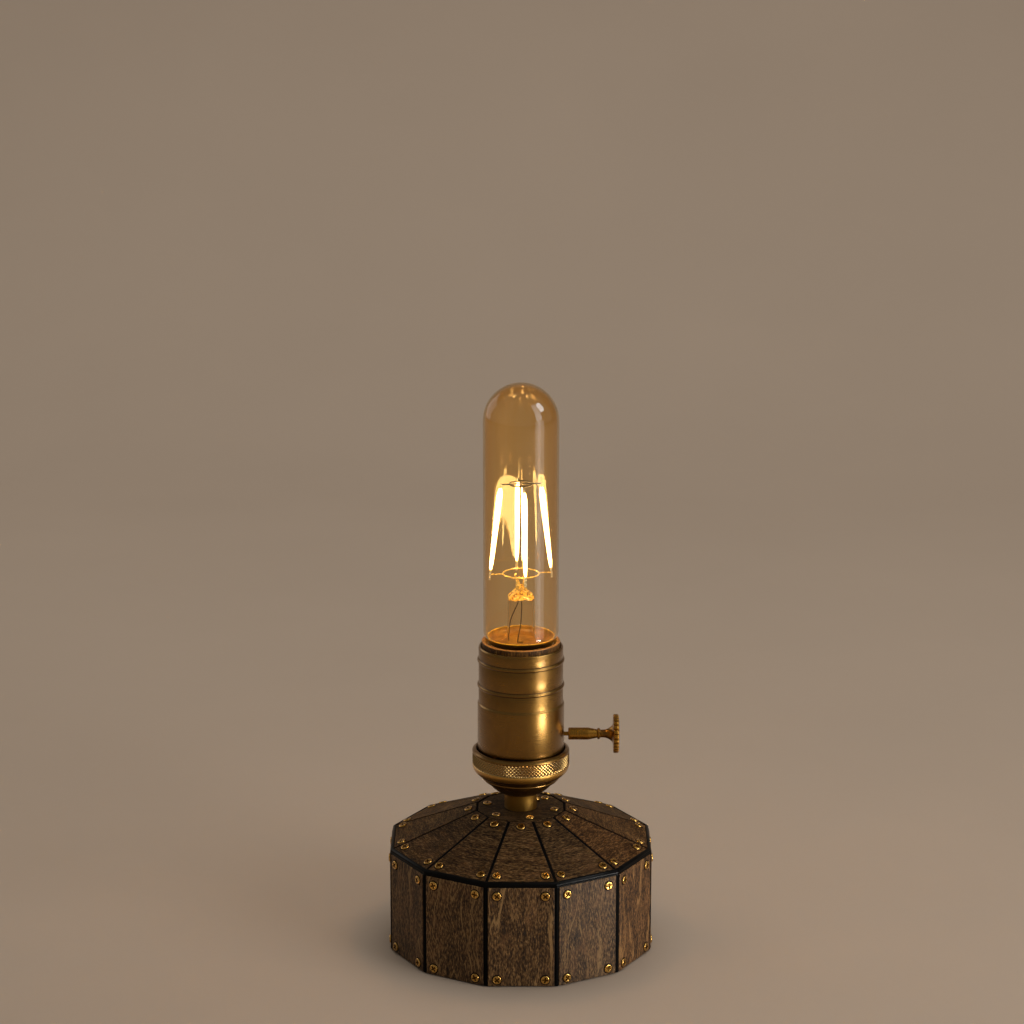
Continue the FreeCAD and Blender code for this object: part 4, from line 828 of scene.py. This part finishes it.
def make_cap():
    """Neck and bowl; the bowl swells from the neck like a rounded dish."""
    neck = [(5, 56.35), (6.4, 56.35), (6.66, 56.6), (6.66, 63.1)]
    bowl = smooth_line([(8.1, 63.42), (8.9, 63.62), (10, 64.3), (11.3, 65.4), (12.5, 66.6), (13.35, 67.6),
                        (13.75, 68.3), (13.8, 69.5)], 4)
    inside = [(15.6, 69.5), (15.6, 74), (12.2, 74), (12.2, 67.6), (5, 67.6)]
    # the neck takes the brighter copy of the brass, painted light
    outline, paint = painted((1, neck), (0, [(6.8, 63.35), *bowl, *inside]))
    turned("holder_bowl", "base", "holder_brass", [holder_brass, brass_painted_light], "holder_cap", outline, 40,
           paint=paint)


def make_grub():
    """Slotted grub screw in the neck: a short shaft with a raised half on each side of the slot."""
    floor_of_slot, top, reach = 7.04, 7.6, 1.36
    move = spin(14) @ shift(0, 0, 59.05) @ ALONG_X @ spin(20)
    shaft = [(0, 4.96), (1.4, 4.96), (1.4, 6.9), (1.32, floor_of_slot), (0, floor_of_slot)]
    grub = Form()
    grub.lathe(shaft, steps=32, loop=False, move=move)
    for side in (-1, 1):
        half = arc((0, 0), (reach, side * reach), range(12, 169, 12))
        grub.stack([[(x, y, z) for x, y in half] for z in (floor_of_slot, top)], move=move)
    grub.piece("neck_screw", "base", "grub_brass", [holder_brass], ["grub_screw"])


KNURLS, KNURL_ROWS = 84, 28
KNURL_LOW, KNURL_TOP = 75.1, 80.1
KNURL_REACH, KNURL_MEAN, KNURL_RISE, KNURL_SINK = 19.4, 19.3, 0.66, 0.5


def zigzag(value):
    """Runs from 0 up to 1 and back while value grows by 1."""
    return 1 - abs(2 * (value % 1) - 1)


def make_ring():
    """Ring with a band of diamond knurl between two plain bands."""
    foot = smooth_line([(14.8, 68.45), (15.35, 69.3), (16.1, 70.2), (17, 71.05), (17.75, 71.6)], 4)
    belly = smooth_line([(18.45, 72.3), (18.75, 72.6), (19.05, 73.15), (19.28, 73.8), (19.42, 74.4),
                         (19.46, 74.8)], 3)
    band = KNURL_TOP - KNURL_LOW
    rows = [(KNURL_REACH, KNURL_LOW + band * k / KNURL_ROWS) for k in range(KNURL_ROWS + 1)]
    lip = [(19.5, KNURL_TOP + 0.15), (19.5, 80.7), (19.4, 80.95), (19.1, 81.2), (18.7, 81.45),
           (18.4, 81.62), (18.2, 81.7), (18, 81.68), (17.88, 81.55)]
    # the belly takes the brighter brass, painted light; the grooves and the lip's inner wall take the dark
    # brass, painted shade
    outline, paint = painted(
        (0, [(13.9, 68.45), *foot[:-1]]), (2, [foot[-1], (17.55, 71.8), (17.6, 72)]),
        (3, [(18.1, 72.12), *belly, (19.36, KNURL_LOW - 0.1)]), (1, rows[:-1]), (0, [rows[-1], *lip]),
        (2, [(17.85, 81.2)]), (0, [(17.85, 75), (15.7, 75), (15.7, 69.45), (13.9, 69.45)]))
    first = paint.index(1)
    last = first + KNURL_ROWS
    pitch = 2 * pi * KNURL_MEAN / KNURLS

    def diamonds(number, turn, height):
        if not first < number < last:
            return 0
        round_share = turn / (2 * pi) * KNURLS
        up_share = (height - KNURL_LOW) / pitch
        rise = min(zigzag(round_share + up_share), zigzag(round_share - up_share))
        fade = min(1, (number - first) / 2, (last - number) / 2)
        return fade * (KNURL_RISE * rise - KNURL_SINK)

    brasses = [holder_brass, knurl_brass, groove_painted_shade, brass_painted_light]
    turned("knurled_collar", "base", "holder_brass", brasses, "knurled_ring", outline, 28, steps=KNURLS * 6,
           paint=paint, wave=diamonds)


def bead(height):
    """Parts of the shell's outline: a rolled bead with a fine groove above and below it, painted dark as
    shade.
    """
    roll = arc((SHELL_UP - 0.06, height), (0.6, 0.74), range(-80, 81, 16))
    return [(0, [(SHELL_UP, height - 1.15)]), (1, [(SHELL_UP - 0.07, height - 0.92)]), (0, roll[:-1]),
            (1, roll[-1:]), (0, [(SHELL_UP - 0.09, height + 0.9), (SHELL_UP, height + 1.12)])]


def make_shell():
    """Tube with a step, two beads and a rolled top, pierced for the key."""
    step = smooth_line([(SHELL_LOW, STEP_LOW), (SHELL_LOW, 100.6), (17.2, 101), (16.98, 101.3),
                        (SHELL_UP, 101.6), (SHELL_UP, 102)], 3)
    foot = [(SHELL_BORE, SHELL_FOOT), (17.2, SHELL_FOOT), (SHELL_LOW, SHELL_FOOT + 0.2)]
    top = [(SHELL_UP, 123.55), (16.85, 123.95), (16.68, 124.28), (16.4, 124.48), (16.1, 124.44),
           (15.8, 124.25), (SHELL_BORE, 123.95)]
    beads = [part for height in BEADS for part in bead(height)]
    outline, paint = painted((0, [*foot, *step]), *beads, (0, top))
    shell = turned("brass_shell", "base", "holder_brass", [holder_brass, groove_painted_shade], "holder_shell",
                   outline, 40, steps=144, paint=paint)
    pierce(shell, shift(SHELL_LOW, 0, KEY_AXIS), KEY_HOLE)


def pierce(made, place, radius):
    """Cuts a round hole along X through one wall of a piece."""
    reach = 3
    cutter = Form()
    cutter.lathe([(0, -reach), (radius, -reach), (radius, reach), (0, reach)], steps=32, loop=False,
                 move=place @ ALONG_X)
    tool = link("cutter", cutter.mesh("cutter"))
    cut = made.modifiers.new("hole", "BOOLEAN")
    cut.operation = "DIFFERENCE"
    cut.solver = "EXACT"
    cut.object = tool
    bpy.context.view_layer.update()
    result = bpy.data.meshes.new_from_object(made.evaluated_get(bpy.context.evaluated_depsgraph_get()))
    made.modifiers.clear()
    made.data = result
    bpy.data.objects.remove(tool)


def make_liner():
    """Fibre tube with an eased rim; rim and bore carry a painted glow for the filaments' light."""
    outline = rounded([(LINER_BORE, LINER_LOW, 0), (LINER_OUT, LINER_LOW, 0), (LINER_OUT, LINER_TOP, 0.3),
                       (LINER_BORE, LINER_TOP, 0.35)])
    glows = [1 if z > LINER_TOP - 0.4 or r < LINER_BORE + 0.2 else 0 for r, z in outline]
    turned("fibre_liner", "base", "fibre", [fibre_brown, fibre_lit], "insulating_liner", outline, steps=120,
           paint=glows)


def make_key():
    """Turned key: stem, taper, small bead, flared waist and a dished disc with a fluted edge."""
    flutes, rim, depth = 24, 7.8, 0.62
    stem = rounded([(0.87, 19, 0), (2.2, 19, 0.25), (2.45, 19.3, 0.3), (2.45, 27, 1),
                    (1.75, 30.4, 0.3), (1.75, 30.6, 0.1), (2.25, 30.75, 0.25), (2.25, 31.6, 0.25),
                    (1.6, 31.8, 0.2), (1.6, 32.9, 0.8)], closed=False)
    flare = smooth_line([(1.6, 32.9), (1.72, 33.9), (2.05, 34.9), (2.6, 35.8), (3.4, 36.6), (4.2, 36.9)], 4)
    edge = [(7.45, 37.05), (rim, 37.3), (rim, 38), (rim, 38.8), (7.55, 39.15)]
    dish = [(7.1, 39.3), (6.6, 39.2), (6.2, 38.8), (4.5, 38.35), (2.6, 38.3), (2.2, 38.45), (1.4, 38.6),
            (0, 38.62)]
    first = len(stem) + len(flare) + 1
    last = first + len(edge) - 1

    def flute(number, turn, height):
        if not first <= number <= last:
            return 0
        wave = abs(sin(turn * flutes / 2))
        return -depth * (1 - wave) ** 2 * (1 if first < number < last else 0.6)

    outline = [*stem, *flare, (6.9, 37), *edge, *dish]
    turned("turned_key", "key", "key_bronze", [key_bronze], "key_knob", outline, 40, steps=flutes * 8,
           loop=False, move=TO_KEY, wave=flute)


def make_pin():
    """The switch's spindle: a drum inside the switch body and a thin pin out to the key."""
    drum, pin, start, shoulder, end = 2.5, 0.82, 5, 9, 21.8
    outline = [(0, start), (drum, start), (drum, shoulder), (pin, shoulder), (pin, end), (0, end)]
    turned("key_pin", "key", "key_bronze", [key_bronze], "switch_spindle", outline, steps=32, loop=False,
           move=TO_KEY)


make_cap()
make_grub()
make_ring()
make_shell()
make_liner()
make_key()
make_pin()


# ---- bulb ----

GLASS, WALL, BODY_LOW, DOME = 15, 0.8, 132, 216.3
TURN, FILAMENTS = 8, 4
LOWER_RING, UPPER_RING = 154.2, 190.8
THREAD_LOW, THREAD_HIGH, THREAD_PITCH = 105.3, 125.5, 25.4 / 7


def glass_outline(inset):
    """The bulb's profile from its foot to its tip, drawn in by so much."""
    reach = GLASS - inset
    foot = smooth_line([(12.9, 125.5), (12.95, 126.1), (13.35, 127), (14.1, 128.1), (14.75, 129.3),
                        (14.98, 130.6), (GLASS, BODY_LOW)], 4)
    body = [(reach, BODY_LOW + (DOME - BODY_LOW) * k / 12) for k in range(1, 13)]
    dome = arc((0, DOME), (reach, reach), range(5, 90, 5))
    return [(r - inset, z) for r, z in foot] + body + dome + [(0, DOME + reach)]


def make_glass():
    outline = glass_outline(0) + glass_outline(WALL)[::-1]
    turned("bulb_envelope", "bulb", "bulb_glass", [amber_glass], "bulb_glass", outline, 60, steps=128)


def make_screw_cap():
    """Brass cap with a rolled thread that fades out at both ends."""
    crest, depth, rows = 13.1, 0.36, 120
    low_end, high_end = THREAD_LOW + 0.6, THREAD_HIGH - 1.4
    wall = [(crest, THREAD_LOW + (THREAD_HIGH - THREAD_LOW) * k / rows) for k in range(rows + 1)]

    def thread(number, turn, height):
        if number > rows:
            return 0
        fade = min(1, max(0, (height - low_end) / 1.6), max(0, (high_end - height) / 1.8))
        return fade * depth * (cos(2 * pi * height / THREAD_PITCH - turn) - 1)

    turned("threaded_cap", "bulb", "bulb_cap", [cap_brass], "bulb_cap",
           [*wall, (12.3, THREAD_HIGH), (12.2, THREAD_LOW)], 60, wave=thread)


def make_cap_foot():
    """The cap's black insulator and its solder contact."""
    base = 101.9
    cone = rounded([(0, base, 0), (5.2, base, 0.4), (5.6, 102.6, 0.3), (12.3, THREAD_LOW, 0.5),
                    (12.5, 106.3, 0), (0, 106.3, 0)], closed=False)
    turned("cap_glass", "bulb", "insulator", [black_glass], "cap_insulator", cone, steps=72, loop=False)
    drop = smooth_line([(0, 100.32), (1.6, 100.34), (3.2, 100.5), (4.3, 100.95), (4.75, 101.5),
                        (4.8, base)], 4)
    turned("solder_contact", "bulb_lift", "solder", [solder_grey], "contact_tip", [*drop, (0, base)],
           steps=48, loop=False)


def make_dish():
    """A shallow dish that closes the bulb's foot: a painted glow on top, its underside painted black as
    shade, and a brighter painted glow on its rim.
    """
    top = smooth_line([(13.2, 128.65), (13.1, 128.2), (12.6, 127.2), (11.4, 126.4), (9, 125.9), (5, 125.65),
                       (1.2, 125.6)], 4)
    under = [(1.2, 125.3), (11.2, 125.3), (12.4, 126.3), (13.4, 128.5)]
    outline, paint = painted((0, top), (1, under[:-1]), (0, under[-1:]))
    dish = Form()
    dish.lathe(outline, steps=72, paint=paint)
    dish.tube(circle(13.25, 128.65, 96), 0.22, sides=8, paint=2, closed=True)
    dish.piece("foot_dish", "bulb", "stem_glass", [dish_painted_glow, painted_shadow_black, dish_rim_painted_glow])


def make_stem():
    """A thin clear flare and tube, and the rod that holds the upper ring."""
    wall = 0.5
    outer = smooth_line([(8.4, 126.4), (7.2, 127), (6.2, 128.2), (5.6, 130.2), (5.4, 133), (5.3, 138),
                         (5.25, 141.5), (5.05, 143.7)], 4)
    stem = Form()
    stem.lathe(outer + [(r - wall, z) for r, z in outer[::-1]], steps=64)
    stem.tube([(0, 0, 147), (0, 0, 170), (0, 0, 190.6)], [0.75, 0.65, 0.6], sides=16)
    stem.piece("glass_stem", "bulb", "stem_glass", [stem_glass], ["bulb_stem"], crease=60)


def make_press():
    """The pinched and crumpled press on the stem's tube, whose foot bulges up in the middle."""
    columns, bulge_top = 48, 146
    rings = []
    for height, wide, thick in (
            (143.5, 4.6, 3.4), (143.7, 5.15, 3.6), (144.2, 5.05, 2.6), (145, 4.2, 1.5), (146, 3, 1.15),
            (147, 2.3, 1), (148.4, 1.9, 0.9), (149.5, 1.5, 0.8), (149.8, 0.9, 0.5)):
        ring = []
        for k in range(columns):
            turn = 2 * pi * k / columns
            x, y = wide * cos(turn), thick * sin(turn)
            crumple = 0.22 * sin(5 * turn + height) + 0.15 * sin(9 * turn - 2 * height)
            bulge = 0.7 * exp(-(x / 2.4) ** 2) if height < bulge_top else 0
            ring.append((x * (1 + 0.05 * crumple), y * (1 + 0.5 * crumple), height + bulge))
        rings.append(ring)
    press = Form()
    press.stack(rings, move=spin(TURN))
    press.piece("glass_press", "bulb", "stem_glass", [press_painted_glow], crease=35)


def make_press_wires():
    """Ragged gold wires that rise from the press, each drawn once and repeated on its four sides."""
    wires = [(0.34, [(1, -0.9, 147.8), (1.8, -0.7, 149.2), (1.2, -0.3, 150.8), (2, 0.1, 152.3),
                     (2.4, -0.2, 153.5), (1.9, 0, LOWER_RING)]),
             (0.26, [(0.5, -1, 146.5), (1.5, -1.3, 148.4), (0.8, -1.1, 150.3), (1.3, -0.6, 151.8),
                     (0.4, -0.3, 153)]),
             (0.3, [(4.9, -1, 144), (4.6, -1.3, 145.3), (3.2, -1.4, 146.4), (2.2, -1.3, 147.6),
                     (1.4, -1.2, 149.2), (1.7, -0.6, 151.2)]),
             (0.24, [(3.4, -2.1, 144.1), (2.2, -1.7, 145.1), (2.6, -1.4, 146.3), (0.9, -1.3, 147.4),
                     (0.2, -1.2, 148.8)])]
    posts = Form()
    for side in (-1, 1):
        for radius, bends in wires:
            for way in (1, -1):
                line = smooth_line([(side * x, way * y, z) for x, y, z in bends])
                posts.tube(line, radius, move=spin(TURN))
    posts.piece("press_wires", "bulb", "support_wire", [wire_gold_painted_glow])


def make_wire_ring(name, node, height, ring, reach, inner, material):
    """A wire hoop with an arm out to each filament."""
    form = Form()
    form.tube(circle(ring, height, 72), 0.3, closed=True)
    for number in range(FILAMENTS):
        form.tube([(inner, 0, height), (reach - 0.5, 0, height), (reach, 0, height + 0.1)], 0.27, sides=8,
                  move=spin(TURN + 360 / FILAMENTS * number))
    form.piece(name, "bulb", "support_wire", [material], [node])


def make_filaments():
    """Four leaning filaments: a white-hot core in its phosphor coat, with a metal tab at each end."""
    foot, head = Vector((12.3, 0, LOWER_RING)), Vector((8, 0, UPPER_RING - 0.2))
    along, side = (head - foot).normalized(), Vector((0, 1, 0))
    flat = along.cross(side).normalized()
    corners = [side * a + flat * b for a, b in ((-0.45, -0.32), (0.45, -0.32), (0.45, 0.32), (-0.45, 0.32))]
    low, high = foot + along * 1.9, head - along * 1.4
    path = [low.lerp(high, k / 12) for k in range(13)]
    swell = [0.66 + 0.48 * min(1, k / 9) for k in range(1, 12)]
    core, coat, tabs = Form(), Form(), Form()
    for number in range(FILAMENTS):
        move = spin(TURN + 360 / FILAMENTS * number)
        core.tube(path, [0.35, *swell, 0.6], sides=16, move=move)
        coat.tube([low - along * 0.6, *path, high + along * 0.5],
                  [0.25, 0.6, *[1.22 * r for r in swell], 0.85, 0.3], sides=20, move=move)
        for end, way, beyond in ((foot, along, 2.1), (head, -along, 0.5)):
            tabs.stack([[p + corner for corner in corners] for p in (end - way * beyond, end + way * 2.2)],
                       move=move)
    core.piece("filament_cores", "bulb", "filament", [filament_core], ["led_filaments"], crease=80)
    coat.piece("filament_coats", "bulb", "filament", [filament_coat], crease=80)
    tabs.piece("filament_ends", "bulb", "support_wire", [tab_steel_painted_glow], ["filament_tabs"])


def make_leads():
    """Two thin dark wires from the press down through the flare into the cap."""
    leads = Form()
    for bends in ([(0.3, -0.3, 143.6), (0.3, -0.3, 140), (0.1, -0.4, 136), (-0.3, -0.5, 132),
                   (-1.2, -0.6, 127), (-1.2, -0.4, 122), (0, 0, 118.4)],
                  [(-0.6, 0.2, 143.6), (-1.5, 0.4, 141.2), (-2.7, 0.8, 138.4), (-4.1, 1.6, 134.6),
                   (-4.7, 2, 131), (-4.9, 2, 127), (-4, 1.4, 122), (-2.6, 0, 118.4)]):
        leads.tube(smooth_line(bends), 0.2, sides=8)
    leads.piece("bulb_leads", "bulb", "lead", [lead_dark], ["lead_wires"])


make_glass()
make_screw_cap()
make_cap_foot()
make_dish()
make_stem()
make_press()
make_press_wires()
make_wire_ring("lower_hoop", "lower_ring", LOWER_RING, 7.1, 12.6, 7.1, wire_gold_painted_glow)
make_wire_ring("upper_hoop", "upper_ring", UPPER_RING, 4.5, 8.3, 0.5, wire_dark)
make_filaments()
make_leads()


# ---- CAD pieces that stay ----

CARRIED = {
    "drum_wall": carcass_black, "roof_deck": carcass_black, "bottom_board": board_wood,
    "felt_pad": felt_black, "board_screws": steel, "threaded_nipple": steel, "nipple_nut": steel,
    "terminal_block": cream_plastic, "inner_wires": wire_cover, "switch_body": porcelain_white,
    "screw_shell": cap_brass, "centre_contact": cap_brass, "led_driver": board_green,
}
for node, material in CARRIED.items():
    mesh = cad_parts[node].data
    mesh.materials.clear()
    mesh.materials.append(material)
